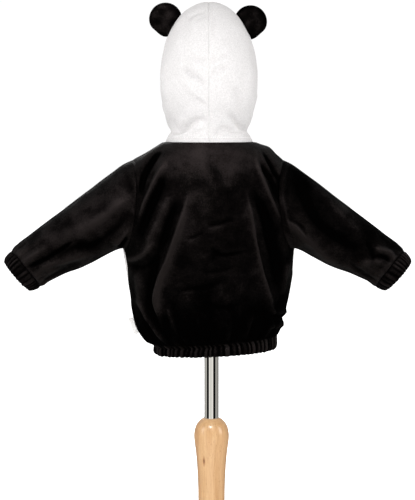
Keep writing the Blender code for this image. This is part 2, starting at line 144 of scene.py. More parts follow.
LOWER_HEIGHTS = [BAND_SEAM, 36, 44, 60, 82, 108, 136, 160, 180, 190]
UPPER_HEIGHTS = [190, 201, 214, 236, 265, 297, 322, 339, 349.5, 359.5, 370]

Armhole = namedtuple("Armhole", "height reach")
ARMHOLE = rows_of(Armhole, """
190 139
201 133.5
214 128.5
233 124
258 121
290 120
317 122.5
339 129
""")

Section = namedtuple("Section", "upper_out upper_up lower_out lower_up depth keep")
SLEEVE = rows_of(Section, """
129 339 146 190 63 1
145.5 331 153 187 63 0.72
162.5 319 161.5 183 62 0.42
181.5 305 171.5 177.5 60 0.2
203.5 288.3 183.5 171 57.5 0.07
227.5 270 200 162 54.5 0
253.5 250.5 221 152.5 52 0
280.5 230.5 244 144.5 49 0
305.5 211.5 264 135.5 45.5 0
325.5 195.5 280 128 41 0
339 181.5 290 120.5 37 0
""")
CUFF = rows_of(Section, """
343 177.5 294.5 118 36 0
348.5 170.5 301.5 115 35 0
350.5 163 308 114 31.5 0
""")
Band = namedtuple("Band", "below wider level")
HEM_BAND = rows_of(Band, """
0 1.4 0
5 2 0.005
12 2 0.013
17.5 -1 0.022
""")

Rib = namedtuple("Rib", "seam_back seam_up half lift throat_up throat_out throat_front")
HOOD = rows_of(Rib, """
57 379 70.5 17 343 2 64
56 391 64.5 18 345 3 65
64 412 67 18 347.5 4.5 67
78 438 72 16 350 6 69
90 469 75.5 13 353 7.5 71
95 504 78.5 10 356 9 73
88 542 82 7 359 10 75
68 574 83 4 362 11 77
38 597 83 2 365 12 79
4 607 81 1 368 13 81
-30 605 77.5 0 371 14 83
-60 594 73 0 374 15 84
""")

Ear = namedtuple("Ear", "name out up")
EARS = [Ear("ear_left", 73.5, 578), Ear("ear_right", -71, 573.5)]

Turned = namedtuple("Turned", "down radius")
COLUMN = rows_of(Turned, """
0 14.5
3 18.5
8 23.5
14 27
21 29.2
29 30.3
36 30.1
46 29
58 27.4
72 26
90 24.7
115 23.6
150 23
300 23
342 24.5
366.7 28
""")

# The form inside: rings all round, and rows of the body's own shape, drawn in
FormRing = namedtuple("FormRing", "height half back front")
FORM_LOWER = rows_of(FormRing, """
24.2 74 52 52
28 80 57 57
40 85 62 62
75 88 65 66
120 84 61 66
165 86 62 67
215 93 65 69
265 100 67 70
""")
FormRow = namedtuple("FormRow", "height half inset")
FORM_UPPER = rows_of(FormRow, """
300 103 16.5
322 107 10.8
338 108 8
""")
FORM_SHOULDERS = [349.5, 359.5, 366]
SHOULDER_INSET, SOCKET_DEEP = 3.8, 59.5
FORM_NECK = rows_of(FormRing, """
374 45.5 41.5 43.5
381 40 38 38
411.8 37 38 38
""")


def table_value(table, name, height):
    """A column of a table at any height, on a smooth curve through its rows."""
    last = len(table) - 1
    at = next((i for i in range(last) if height <= table[i + 1].height), last - 1)

    def slope(i):
        low, high = max(i - 1, 0), min(i + 1, last)
        rise = getattr(table[high], name) - getattr(table[low], name)
        return rise / (table[high].height - table[low].height)

    low, high = table[at], table[at + 1]
    span = high.height - low.height
    t = (height - low.height) / span
    a, b = getattr(low, name), getattr(high, name)
    ends = a * (2 * t**3 - 3 * t**2 + 1) + b * (3 * t**2 - 2 * t**3)
    return ends + span * (slope(at) * (t**3 - 2 * t**2 + t) + slope(at + 1) * (t**3 - t**2))


def body_row(height):
    """The body's row at any height."""
    values = {name: table_value(BODY, name, height) for name in Row._fields[1:]}
    return Row(height=height, **values)


def body_points(row, angles):
    """Points of a row; an angle is 0 at centre front and 180 degrees at centre back."""
    angles = np.asarray(angles)
    power = 2 / row.full
    side, ahead = np.sin(angles), np.cos(angles)
    x = row.centre + row.half * np.sign(side) * np.abs(side) ** power
    depth = np.where(ahead > 0, row.front, row.back)
    y = -depth * np.sign(ahead) * np.abs(ahead) ** power
    z = row.height + row.tilt * x - np.where(ahead > 0, row.drop * ahead**2, 0)
    return np.stack([x, y, z], axis=1)


def half_angles(row, seam_turn, fine):
    """Angles of a half row's points, from centre front to the seam and on to centre back."""
    if row.height >= SHOULDER_TIP:
        edge = pi / 2
    else:
        reach = table_value(ARMHOLE, "reach", max(row.height, ARMPIT))
        widest = row.half if row.height > ARMPIT else body_row(ARMPIT).half
        edge = asin(min(1.0, (reach / widest) ** (row.full / 2)))
    ahead = np.linspace(0, edge, QUARTER * fine + 1)
    behind = np.linspace(pi - edge, pi, QUARTER * fine + 1)
    if row.height > ARMPIT:
        return ahead, behind
    seam = radians(90 + seam_turn)
    ahead = np.concatenate([ahead, np.linspace(edge, seam, SIDE * fine + 1)[1:]])
    behind = np.concatenate([np.linspace(seam, pi - edge, SIDE * fine + 1)[:-1], behind])
    return ahead, behind


def row_points(row, fine=FINE):
    """Left front, whole back and right front of a row."""
    left_front, left_back = half_angles(row, row.seam_left, fine)
    right_front, right_back = half_angles(row, row.seam_right, fine)
    back = np.concatenate([left_back, -right_back[:-1][::-1]])
    return (
        body_points(row, left_front),
        body_points(row, back),
        body_points(row, -right_front[::-1]),
    )


def between(values, steps):
    """Numbers with even steps between neighbours."""
    at = np.arange((len(values) - 1) * steps + 1) / steps
    return np.interp(at, np.arange(len(values)), values)


def finer(rings, steps):
    """Rings on a smooth curve through the given ones, with steps between neighbours."""
    rings = np.asarray(rings)
    slopes = np.gradient(rings, axis=0)
    made = []
    for i in range(len(rings) - 1):
        for j in range(steps):
            t = j / steps
            made.append(
                rings[i] * (2 * t**3 - 3 * t**2 + 1) + rings[i + 1] * (3 * t**2 - 2 * t**3)
                + slopes[i] * (t**3 - 2 * t**2 + t) + slopes[i + 1] * (t**3 - t**2)
            )
    made.append(rings[-1])
    return np.array(made)


def sleeve_ring(section, side, angles):
    """A ring of the sleeve, from under the arm up its back and down its front."""
    upper = np.array((section.upper_out, 0, section.upper_up))
    lower = np.array((section.lower_out, 0, section.lower_up))
    centre, arm = (upper + lower) / 2, (lower - upper) / 2
    across = np.array((0, section.depth, 0))
    ring = centre + np.outer(np.cos(angles), arm) + np.outer(np.sin(angles), across)
    ring[:, 0] = side * ring[:, 0] + SHOULDER_CENTRE
    return ring


def hood_rib(rib):
    """A rib of the hood from the throat on the wearer's left, over the seam, to the right."""
    angle = np.linspace(0, pi, 2 * QUARTER * FINE + 1)
    share = (1 - np.cos(angle)) / 2
    start = rib.throat_out * (1 - share) ** 2
    x = start + (rib.half - start) * np.abs(np.sin(angle)) ** HOOD_FULLNESS
    y = -rib.throat_front + (rib.seam_back + rib.throat_front) * share
    z = rib.throat_up + (rib.seam_up - rib.throat_up) * share + rib.lift * np.sin(angle) ** 2
    x[-1] = 0
    left = np.stack([x, y, z], axis=1)
    right = left[:-1][::-1] * (-1, 1, 1)
    return np.concatenate([left, right]) + (HOOD_CENTRE, 0, 0)


# Small helpers

def smooth_step(x, low, high):
    """From 0 at low to 1 at high, without a kink."""
    t = np.clip((np.asarray(x, float) - low) / (high - low), 0, 1)
    return t * t * (3 - 2 * t)


def bell(x, width, middle=0):
    """A smooth hump, 1 high at its middle."""
    return np.exp(-(((x - middle) / width) ** 2))


def whole_turn(count):
    """Angles in even steps round a whole turn."""
    return 2 * pi * np.arange(count) / count


def unit(vectors):
    """Vectors of the same directions, each 1 long."""
    return vectors / np.maximum(np.linalg.norm(vectors, axis=1, keepdims=True), 1e-9)


def lengths_along(line):
    """How far each point of a line is from its start, along it."""
    steps = np.linalg.norm(np.diff(line, axis=0), axis=1)
    return np.concatenate([[0], np.cumsum(steps)])


def spot_at(line, lengths, at):
    """The place on a line where its lengths reach a value."""
    return np.array([np.interp(at, lengths, line[:, d]) for d in range(3)])


def point_tree(points, ids):
    """A tree that finds the nearest of the points with these ids."""
    tree = KDTree(len(ids))
    for i in ids:
        tree.insert(points[i], int(i))
    tree.balance()
    return tree


# Meshes of cloth

def grid_faces(rows, columns, closed=False, start=0):
    """Quads between neighbouring rows of a grid of points."""
    r = np.arange(rows - 1)[:, None]
    c = np.arange(columns if closed else columns - 1)[None, :]
    a = start + r * columns + c
    b = start + r * columns + (c + 1) % columns
    return np.stack([a, b, b + columns, a + columns], axis=2).reshape(-1, 4)


def point_normals(points, faces):
    """The mean normal of the faces round each point."""
    corner = points[faces]
    across = np.cross(corner[:, 2] - corner[:, 0], corner[:, 3] - corner[:, 1])
    normals = np.zeros_like(points)
    for k in range(4):
        np.add.at(normals, faces[:, k], across)
    return unit(normals)


def rim_edges(faces):
    """Edges that only one face has, in that face's direction."""
    edges = np.concatenate([np.stack([faces[:, k], faces[:, (k + 1) % 4]], axis=1) for k in range(4)])
    keys = np.sort(edges, axis=1)
    _, first, counts = np.unique(keys, axis=0, return_index=True, return_counts=True)
    return edges[first[counts == 1]]


def away_from_cloth(points, faces, rim):
    """At each rim point, the direction that leads off the cloth, along it."""
    directions = np.zeros_like(points)
    at_rim = np.zeros(len(points), bool)
    at_rim[rim.ravel()] = True
    middles = points[faces].mean(axis=1)
    for k in range(4):
        corner = faces[:, k]
        use = at_rim[corner]
        np.add.at(directions, corner[use], points[corner[use]] - middles[use])
    normals = point_normals(points, faces)
    return unit(directions - normals * (directions * normals).sum(axis=1, keepdims=True))


class Panel:
    """One cut piece of cloth: its points, its quads and how far each point is from its rim."""

    def __init__(self, name, points, faces):
        self.name = name
        self.points = points
        self.faces = faces
        self.normals = point_normals(points, faces)
        self.rim = rim_edges(faces)
        self.rim_ids = np.unique(self.rim)
        tree = point_tree(points, self.rim_ids)
        self.edge = np.array([tree.find(p)[2] for p in points])
        self.rise = np.zeros(len(points))
        # painted light and shade of the panel's points, 0 where there is none
        self.shade = 0.0

    def solid(self, wall, gap):
        """Vertices and faces of the sheet's closed wall, with rounded rims, and which are inside."""
        outer = self.points + self.normals * self.rise[:, None]
        off = away_from_cloth(outer, self.faces, self.rim)
        bulge = min(0.12 * wall, gap)
        at = self.rim_ids
        outer[at] -= off[at] * (gap / 2 + bulge)
        inner = outer - self.normals * wall
        middle = (outer[at] + inner[at]) / 2 + off[at] * bulge
        count = len(outer)
        slot = np.zeros(count, int)
        slot[at] = 2 * count + np.arange(len(at))
        a, b = self.rim[:, 0], self.rim[:, 1]
        strips = [np.stack([b, a, slot[a], slot[b]], axis=1),
                  np.stack([slot[b], slot[a], a + count, b + count], axis=1)]
        faces = np.concatenate([self.faces, self.faces[:, ::-1] + count] + strips)
        inside = np.zeros(len(faces), int)
        inside[len(self.faces): 2 * len(self.faces)] = 1
        return np.concatenate([outer, inner, middle]), faces, inside


def share_seam_normals(panels):
    """Gives panels that meet at a seam one normal there, so that their walls meet without a slit."""
    rims = [(p, point_tree(p.points, p.rim_ids), p.normals.copy()) for p in panels]
    for panel, _, own in rims:
        for i in panel.rim_ids:
            total = own[i].copy()
            for other, tree, normals in rims:
                if other is panel:
                    continue
                _, k, distance = tree.find(panel.points[i])
                if distance < SEAM_REACH:
                    total += normals[k]
            panel.normals[i] = total / np.linalg.norm(total)


def make_mesh(name, points, faces, materials, slots=None):
    """An object from points in millimetres over the hem."""
    mesh = bpy.data.meshes.new(name)
    placed = (np.asarray(points, float) + (0, 0, HEM_HEIGHT)) * MM
    mesh.from_pydata(placed.tolist(), [], [list(map(int, f)) for f in faces])
    for material in materials:
        mesh.materials.append(material)
    if slots is not None:
        mesh.polygons.foreach_set("material_index", slots)
    mesh.polygons.foreach_set("use_smooth", [True] * len(mesh.polygons))
    mesh.update()
    obj = bpy.data.objects.new(name, mesh)
    bpy.context.scene.collection.objects.link(obj)
    return obj


def mark_painted_light(obj, values):
    """Painted light and shade at each point of the pile: 0.5 is level cloth, higher is painted lighter and
    lower painted darker.
    """
    data = obj.data.attributes.new("painted_light_and_shade", "FLOAT", "POINT").data
    data.foreach_set("value", np.clip(values, 0, 1))


# Folds. A place is a point as seen in the photograph, in its pixels.

def seen_places(points):
    """Where the photograph's camera sees points."""
    at, aim = (np.array(spot) / MM - (0, 0, HEM_HEIGHT) for spot in (CAMERA_AT, CAMERA_AIM))
    ahead = (aim - at) / np.linalg.norm(aim - at)
    right = np.cross(ahead, (0, 0, 1))
    right /= np.linalg.norm(right)
    up = np.cross(right, ahead)
    scale = CAMERA_LENS / FRAME_HIGH * PHOTO_HIGH
    away = points - at
    deep = away @ ahead
    across = PHOTO_WIDE / 2 + scale * (away @ right) / deep
    down = PHOTO_HIGH / 2 - scale * (away @ up) / deep
    return np.stack([across, down], axis=1)


Fold = namedtuple("Fold", "path rise left right")


def folds_of(text):
    """Folds, a line of numbers for each: rise, left and right widths, and the places of its path."""
    folds = []
    for line in text.strip().splitlines():
        rise, left, right, *path = line.split()
        path = [tuple(map(float, place.split(","))) for place in path]
        folds.append(Fold(path, float(rise), float(left), float(right)))
    return folds


def fold_rise(places, fold):
    """How far a soft ridge, or trough where rise is below 0, lifts the cloth at each place.

    left and right are its widths on the two sides of a path that runs down the photograph; on a
    path that runs to the right they lie below and above it.
    """
    path = finer(np.array(fold.path, float), 6)
    start, step = path[:-1], np.diff(path, axis=0)
    length = np.maximum((step**2).sum(axis=1), 1e-9)
    reach = 2.6 * max(fold.left, fold.right)
    low, high = path.min(axis=0) - reach, path.max(axis=0) + reach
    near = ((places > low) & (places < high)).all(axis=1)
    rise = np.zeros(len(places))
    spots = places[near]
    if not len(spots):
        return rise
    gap = spots[:, None, :] - start[None]
    t = np.clip((gap * step[None]).sum(axis=2) / length[None], 0, 1)
    off = gap - t[:, :, None] * step[None]
    distance = np.sqrt((off**2).sum(axis=2))
    pick = distance.argmin(axis=1)
    rows = np.arange(len(spots))
    along = (pick + t[rows, pick]) / len(step)
    chosen, moved = step[pick], off[rows, pick]
    turn = chosen[:, 0] * moved[:, 1] - chosen[:, 1] * moved[:, 0]
    width = np.where(turn > 0, fold.left, fold.right)
    fade = smooth_step(along, 0, 0.28) * smooth_step(1 - along, 0, 0.3)
    rise[near] = fold.rise * fade * bell(distance[rows, pick], width)
    return rise


def ripple(points, size, seed):
    """A soft, irregular wave between about -1 and 1 over places some size apart."""
    count = 14
    source = np.random.default_rng(seed)
    total = np.zeros(len(points))
    for _ in range(count):
        way = source.normal(size=points.shape[1])
        way *= 2 * pi / size * source.uniform(0.5, 1.1) / np.linalg.norm(way)
        total += np.sin(points @ way + source.uniform(0, 2 * pi))
    return total / sqrt(count)


def gathers(along, spacing, seed, whole, uneven=0.35, sharp=2.2):
    """Uneven rounded ridges with narrow valleys, over a closed length; and each one's own number."""
    source = np.random.default_rng(seed)
    count = max(3, round(whole / spacing))
    widths = 1 + uneven * source.uniform(-1, 1, count)
    knots = np.concatenate([[0], np.cumsum(widths)]) * whole / widths.sum()
    at = np.clip(np.searchsorted(knots, along % whole, side="right") - 1, 0, count - 1)
    f = (along % whole - knots[at]) / (knots[at + 1] - knots[at])
    height = source.uniform(0.45, 1.0, count)
    own = source.uniform(0, 1, count)
    return height[at] * (1 - np.abs(2 * f - 1) ** sharp), own[at]


# Folds of the back, seen from behind, then the front's, which nobody sees there and which are
# like them, then those of the sleeves and the hood. Rise: millimetres; the rest: pixels.
BACK_FOLDS = folds_of("""
5.5 2.2 3.2  168,152 162,166 154,182 147,197 141,212 137,230
-7 3.8 2.8  166,146 156,157 147,169 142,183 139,202
-6 4 3.6  166,168 161,183 155,197 149,211 143,226 137,244
3 3.4 4.4  170,192 165,206 158,222 149,240 142,254
-4.4 3 3.2  177,198 172,213 167,228 162,243 156,258
7 2.2 6.5  191,186 185,206 176,234 167,260 158,282 155,299 158,316 165,340
-5.4 3.4 3.8  161,246 154,267 150,288 149,306 154,326
2 6.5 2.1  246,186 249,203 251.5,218 256,244 262,271 270,298 273,316 271,338
3.2 1.5 1.5  246,186 249,203 252,218 256,244 262,271 270,298 273,316
-6 4.8 5  256,192 264,214 271,242 278,268 280,300
5.2 1.8 1.7  254,146 256.5,156 259,168 264,182 270,197 277,212 284,225 291,242
-2.8 3.4 3  254,186 260,204 269,220 280,238
-5.5 2.6 3.4  258,154 264,168 271,180 276,192 281,204 286,216
-5 2.2 3  256,141 264,154 271,166 278,178 281,192 281,208
3 1.4 1.4  257,147 262,156 267,164.5 273,175
-2.9 1.4 2.5  206,225.5 214,225 222,223 239,218
0.9 3 2  206,229 216,229 228,226 240,222
-2.9 2.6 1.4  209,245 218,253 228,254.5 255,249.5
-2.1 1.4 2.6  186,240 196,236.5 207,231
-2.8 1.5 3  172,292 190,289.5 206,288 230,279
-1.8 3 2  198,269 212,272 238,266
-2 3.4 2.4  202,302 222,308 244,302
1.5 3 4  186,262 200,258 214,258
5.6 2.4 4  124,260 135,259 146,253 157,238
-2.6 3.2 2.2  130,266 139,267 150,264 160,254
5.8 2 3  134,296 141,306 148,319 156,330 168,345
-1.2 3 3  133,276 133,292 136,306
2.4 3.4 3.4  136,272 138,288 141,302
-1.6 6 6  222,290 230,293 240,292
-2.8 2.6 2.6  146,292 152,310 159,326 166,338
3 1.6 2.2  166,302 171,318 177,331 185,345
-3 2.2 2.4  163,312 168,327 174,342
2.8 2 1.6  254,312 249,326 244,344
1.6 2.6 2  234,316 231,328 226,343
1.6 2.2 2.8  196,314 200,328 204,343
-2.2 2.6 2.6  214,320 215,332 214,344
3 3 2.2  290,258 286,276 283,296
4.2 1.8 2.6  270,310 277,313 289,310
-4 1.8 1.8  272,318 279,318.5 287,316
3.4 2.2 2.2  268,327 276,325 284,321
-3.2 2.2 2.2  264,334 266,324 270,316
2.2 7 7  196,146 203,166 202,188
1.2 7 7  228,146 234,162 240,178
-1.8 4 5  206,158 216,172 218,190
""")
# Where the cloth stands up over the two ends of the neck seam and along the shoulders
SHOULDER_FOLDS = folds_of("""
2.2 2 3.2  172,140 165,143 156,149 147,156 138,164
5.4 3.6 3  244,138 253,138 261,141.5 269,147.5 278,155
""")
FRONT_FOLDS = folds_of("""
6.5 5 3  250,152 258,180 268,206 280,232
6.5 3 5  165,152 158,178 149,204 138,230
7.2 3.5 8  182,196 176,226 166,256 159,286 161,322
7.2 8 3.5  240,200 246,232 254,262 262,292 264,328
3.9 5 3  224,236 230,262 236,290 235,322
3.9 3 5  198,230 193,258 186,284 183,320
-1.8 3 5  160,254 182,258 206,250
-1.6 3.4 5  218,276 240,280 262,268
2.6 3.6 5.5  133,270 148,263 163,244 170,226
2.4 5.5 3.6  290,274 274,264 260,240
4.2 2.4 3  148,312 156,326 166,343
4.2 3 2.4  272,310 264,325 256,342
-2 3.4 2  178,296 194,300 206,297
-3.9 4 4.5  150,236 144,262 142,290
-3.9 4.5 4  274,236 279,262 281,290
""")
SLEEVE_FOLDS = folds_of("""
-4.8 1.3 2.6  20,271 33,266 46,259.5 57,253 68,245 80,237
-3 4 4.5  54,254 66,251 78,246 92,240
3.4 3.4 2.4  34,276 46,266 60,262 76,257 92,250
2.6 2.6 4  22,262 36,254 50,246
-1.6 3.4 3.4  14,252 30,240 48,228
3.2 3.4 9  68,242 84,232 102,221 120,205 138,188
-2.8 3.6 2.8  76,256 92,247 108,235 124,220 136,204
3.4 2 2.6  112,246 120,241 127,234 131,228
-4.5 1.8 2  116,250 123,244 129,233
-2.2 3 3  74,250 88,246 104,238
2 6 6  56,222 76,208 100,192
-1.8 4 4  84,222 98,212 112,204
-2 4 4  126,164 128,182 136,196
-2 2.6 2.6  40,282 52,276 68,268 84,262
3 4 6  300,176 316,187 332,204 349,223 365,238
-4.6 6 5.6  292,160 300,182 308,204 318,222 336,237 354,248 376,262
4.2 5 3.2  284,214 296,228 312,244 328,258 346,268
-2.8 1.6 1.8  284,217.5 293,221 302,228 310,244
2.6 1.6 1.8  292,158 285,172 282.5,188 284,206 288,222 294,242
4.4 2.4 3  374,248 384,251 396,254
-3.6 2 2  372,256 384,257 392,262
3 2.6 2.2  360,264 372,262 384,264
-3.4 3 3  366,240 372,252 374,268
-2.2 2.4 2.4  346,262 360,271 374,279
1.8 5 5  330,196 348,210 366,226
""")
HOOD_FOLDS = folds_of("""
-5.6 1.4 2.8  179,66 188,71.5 197,78 211,89
2 4 3.4  176,72 186,83 196,94 206,104
-3 1.6 3  187,54 196,58 208,58.5
-4.2 1.4 3.2  211,74 219,70 233,64
-3 1.6 2.8  212,61 219,58 230,51
-4.8 1.5 3.4  167,134 176,133 184,131 192,124 201,121 214,123
2.7 2 2.6  168,139 182,135.5 196,129 211,128
-2.7 1.6 3  195,97 202,104 211,108
-3.9 1.3 3  213,134 219,131.5 224,129.5 232,131 244,133
-5.4 1.6 3.2  226,111 234,120 239,126 248,132
-2 3 3  168,114 174,125 182,133
2.4 5 5  163,56 164,78 166,102
2.7 5 5  252,62 251,86 247,108
-2.7 3 3  233,86 240,97 244,110
2.1 5 5  219,76 228,92 234,108
-3.4 1.4 3  186,20 196,14 213,10
-2.6 1.4 2.4  194,21 204,16 213,17
-1.8 2 2  214,10 213,24 215,40
2.2 4 4  190,106 188,116 180,124
""")

# Folds of the hood's two sides, which the photograph doesn't show: how far back and how high, in mm
HOOD_SIDE_FOLDS = folds_of("""
2.4 6 9  -66,366 -50,404 -26,436 -8,446
-2 7 8  -76,398 -56,432 -30,464 -12,478
-1.2 6 6  -34,366 -22,396 -18,428
-1.6 7 9  -70,486 -44,512 -12,530
1.3 8 8  -60,540 -30,556 4,566
""")


def total_rise(*lists):
    """What lists of folds lift the cloth by; each list comes after its places and before its share."""
    total = 0.0
    for places, folds, share in lists:
        for fold in folds:
            total = total + fold_rise(places, fold) * share
    return total


def fold_shade(folds):
    """Painted shade in the troughs of the folds and painted highlights on their ridges."""
    return 0.14 * smooth_step(folds, 2, 7) - 0.46 * smooth_step(-folds, 2.3, 5)


def eased(panel, folds, soft):
    """Folds that nearly end at the panel's edge, and a softness that ends there."""
    return folds * (0.25 + 0.75 * smooth_step(panel.edge, 1, 12)) + soft


def add_gathers(rise, along, whole, height, foot, level, sizes, share=1):
    """Adds gathers of several sizes: spacing, rise, reach over the seam, and source."""
    for spacing, high, reach, seed in sizes:
        ridge, own = gathers(along, spacing, seed, whole)
        top = reach * (0.5 + 0.8 * own)
        mask = smooth_step(height, foot[0], 0.16 * reach + foot[1])
        mask *= 1 - smooth_step(height, 0.25 * top, top)
        rise += high * (ridge - level) * mask * share


def body_rise(panel):
    """Folds, gathers and seam of a panel of the jacket's body."""
    points = panel.points
    places = seen_places(points)
    # the folds seen in the photograph give way to the front's at the sides
    behind = smooth_step(points[:, 1], -14, 12)
    folds = total_rise((places, BACK_FOLDS, behind), (places, FRONT_FOLDS, 1 - behind))
    standing = total_rise((places, SHOULDER_FOLDS, smooth_step(points[:, 2], 300, 330)))
    # the height over the hem's seam, which lies lower on the wearer's left
    hem = points[:, 2] - BAND_SEAM + 0.06 * points[:, 0]
    turn = np.arctan2(points[:, 0] - TURN_CENTRE, points[:, 1]) % (2 * pi)
    along = turn * HEM_RING + 1.6 * ripple(points, 60, 5)
    soft = 0.6 * ripple(points, 55, 11) + 0.3 * ripple(points, 26, 12)
    soft = soft * smooth_step(panel.edge, 0, 10) * (1 - smooth_step(points[:, 2], 300, 335))
    rise = eased(panel, folds, soft)
    add_gathers(rise, along, 2 * pi * HEM_RING, hem, (-4, 2), 0.35,
                ((9, 2.2, 17, 21), (20, 4.2, 52, 22), (43, 3.6, 82, 23)))
    # troughs stay shallow where the form's shoulders are near
    shoulder = smooth_step(points[:, 2], 322, 345)
    rise = rise * (1 - 0.55 * shoulder)
    rise = np.maximum(rise, -0.8 - 6 * (1 - shoulder))
    panel.rise = rise + standing * smooth_step(panel.edge, 0, 6) - 0.15 * bell(panel.edge, 1.8)
    # painted light and shade: painted lighter at the shoulders, which face up to the light, and painted
    # darker over the hem, where the cloth turns away from it; the folds add painted shade in their troughs
    # and painted highlights on their ridges
    panel.shade = (0.27 * smooth_step(points[:, 2], 282, 354) - 0.08
                   - 0.4 * (1 - smooth_step(hem, 25, 95)) * smooth_step(hem, -4, 6)
                   + fold_shade(folds))


def sleeve_rise(panel, side, rings):
    """Folds of a sleeve, gathered at its cuff."""
    points, normals = panel.points, panel.normals
    # folds are full behind, weaker in front and weakest above and below
    shown = smooth_step(normals[:, 1], 0.0, 0.4) + 0.6 * smooth_step(-normals[:, 1], 0.0, 0.4)
    folds = total_rise((seen_places(points), SLEEVE_FOLDS, 0.08 + 0.92 * shown))
    rows, columns = rings.shape[:2]
    turn = np.tile(np.arange(columns) / columns, rows) * 2 * pi
    length = lengths_along(rings.mean(axis=1))
    to_cuff = np.repeat(length[-1] - length, columns)
    along = turn * CUFF_RING + 1.2 * ripple(points, 45, 31)
    soft = 0.6 * ripple(points, 48, 32 + side) + 0.35 * ripple(points, 23, 35)
    rise = eased(panel, folds, soft * smooth_step(panel.edge, 0, 10) * (0.25 + 0.75 * shown))
    shift = 10 * side  # so that each sleeve has gathers of its own
    add_gathers(rise, along, 2 * pi * CUFF_RING, to_cuff, (0.5, 3), 0.3,
                ((7.5, 1.8, 15, 41 + shift), (15, 3.2, 42, 42 + shift), (30, 3.0, 75, 43 + shift)),
                0.45 + 0.55 * shown)
    rise += 1.4 * shown * smooth_step(to_cuff, -1, 5) * (1 - smooth_step(to_cuff, 7, 24))
    panel.rise = rise - 0.15 * bell(panel.edge, 1.8)
    # painted light and shade: the light falls more on the left sleeve than on the right one, so the left
    # sleeve is painted lighter; on the right one the top is painted darker and the underside lighter; the
    # folds add painted shade and highlights
    steep = normals[:, 2]
    under = 0.13 * smooth_step(-steep, -0.1, 0.5)
    light = 0.05 if side > 0 else -0.07 - 0.16 * smooth_step(steep, 0.1, 0.8) + under
    panel.shade = light + fold_shade(folds)


def band_rise(panel, along, whole, level, seed, spacing, high):
    """Ridges of a gathered elastic band. level is 0 at its seam and 1 at its free edge."""
    drift = along + 0.9 * np.sin(level * 3 + along / 23) + 1.6 * level * np.sin(along / 41 + seed)
    ridge, own = gathers(drift, spacing, seed, whole, 0.4, 1.9)
    second, _ = gathers(drift + 3, spacing * 2.6, seed + 1, whole, 0.4)
    near_seam = 0.3 + 0.7 * smooth_step(level, 0, 0.2)
    near_edge = 1 - 0.25 * smooth_step(level, 0.85, 1.0)
    lean = 0.75 + 0.25 * np.sin(own * 9 + level * 4)
    roll = -1.3 * smooth_step(level, 0.86, 1.0) ** 2
    panel.rise = (high * (ridge - 0.45) * lean * near_seam * near_edge
                  + 0.8 * (second - 0.5) * near_seam + roll - 0.3 * (1 - near_seam))


def hood_rise(panel, to_neck, to_face, from_seam):
    """Small folds of a half of the hood, its neck seam's edge and its face hem."""
    points, height = panel.points, panel.points[:, 2]
    behind = smooth_step(panel.normals[:, 1], -0.1, 0.3) * smooth_step(points[:, 1], -25, 15)
    beside = points[:, 1:] + (5, 8) * np.sign(points[:, :1] - HOOD_CENTRE)
    aside = smooth_step(np.abs(panel.normals[:, 0]), 0.45, 0.85)
    folds = total_rise((seen_places(points), HOOD_FOLDS, behind), (beside, HOOD_SIDE_FOLDS, aside))
    soft = 0.45 * ripple(points, 42, 51) + 0.2 * ripple(points, 20, 52)
    rise = folds * (0.2 + 0.8 * smooth_step(panel.edge, 1, 8)) + soft * smooth_step(panel.edge, 0, 10)
    rise -= 0.45 * bell(to_neck, 1.3, NECK_STITCHES)
    rise -= 0.45 * bell(to_face, 1.3, FACE_STITCHES)
    rise += 0.5 * smooth_step(-to_face, -12.5, -9)
    pucker = np.sin(height / 1.9 + 0.8 * np.sin(height / 11))
    rise += 0.16 * pucker * bell(from_seam, 5)
    seam = bell(from_seam, 1.7) * 0.8 * smooth_step(height, 540, 600)
    other = bell(panel.edge, 1.6) * smooth_step(from_seam, 1.5, 4)
    panel.rise = rise - seam - 0.5 * other


# Materials

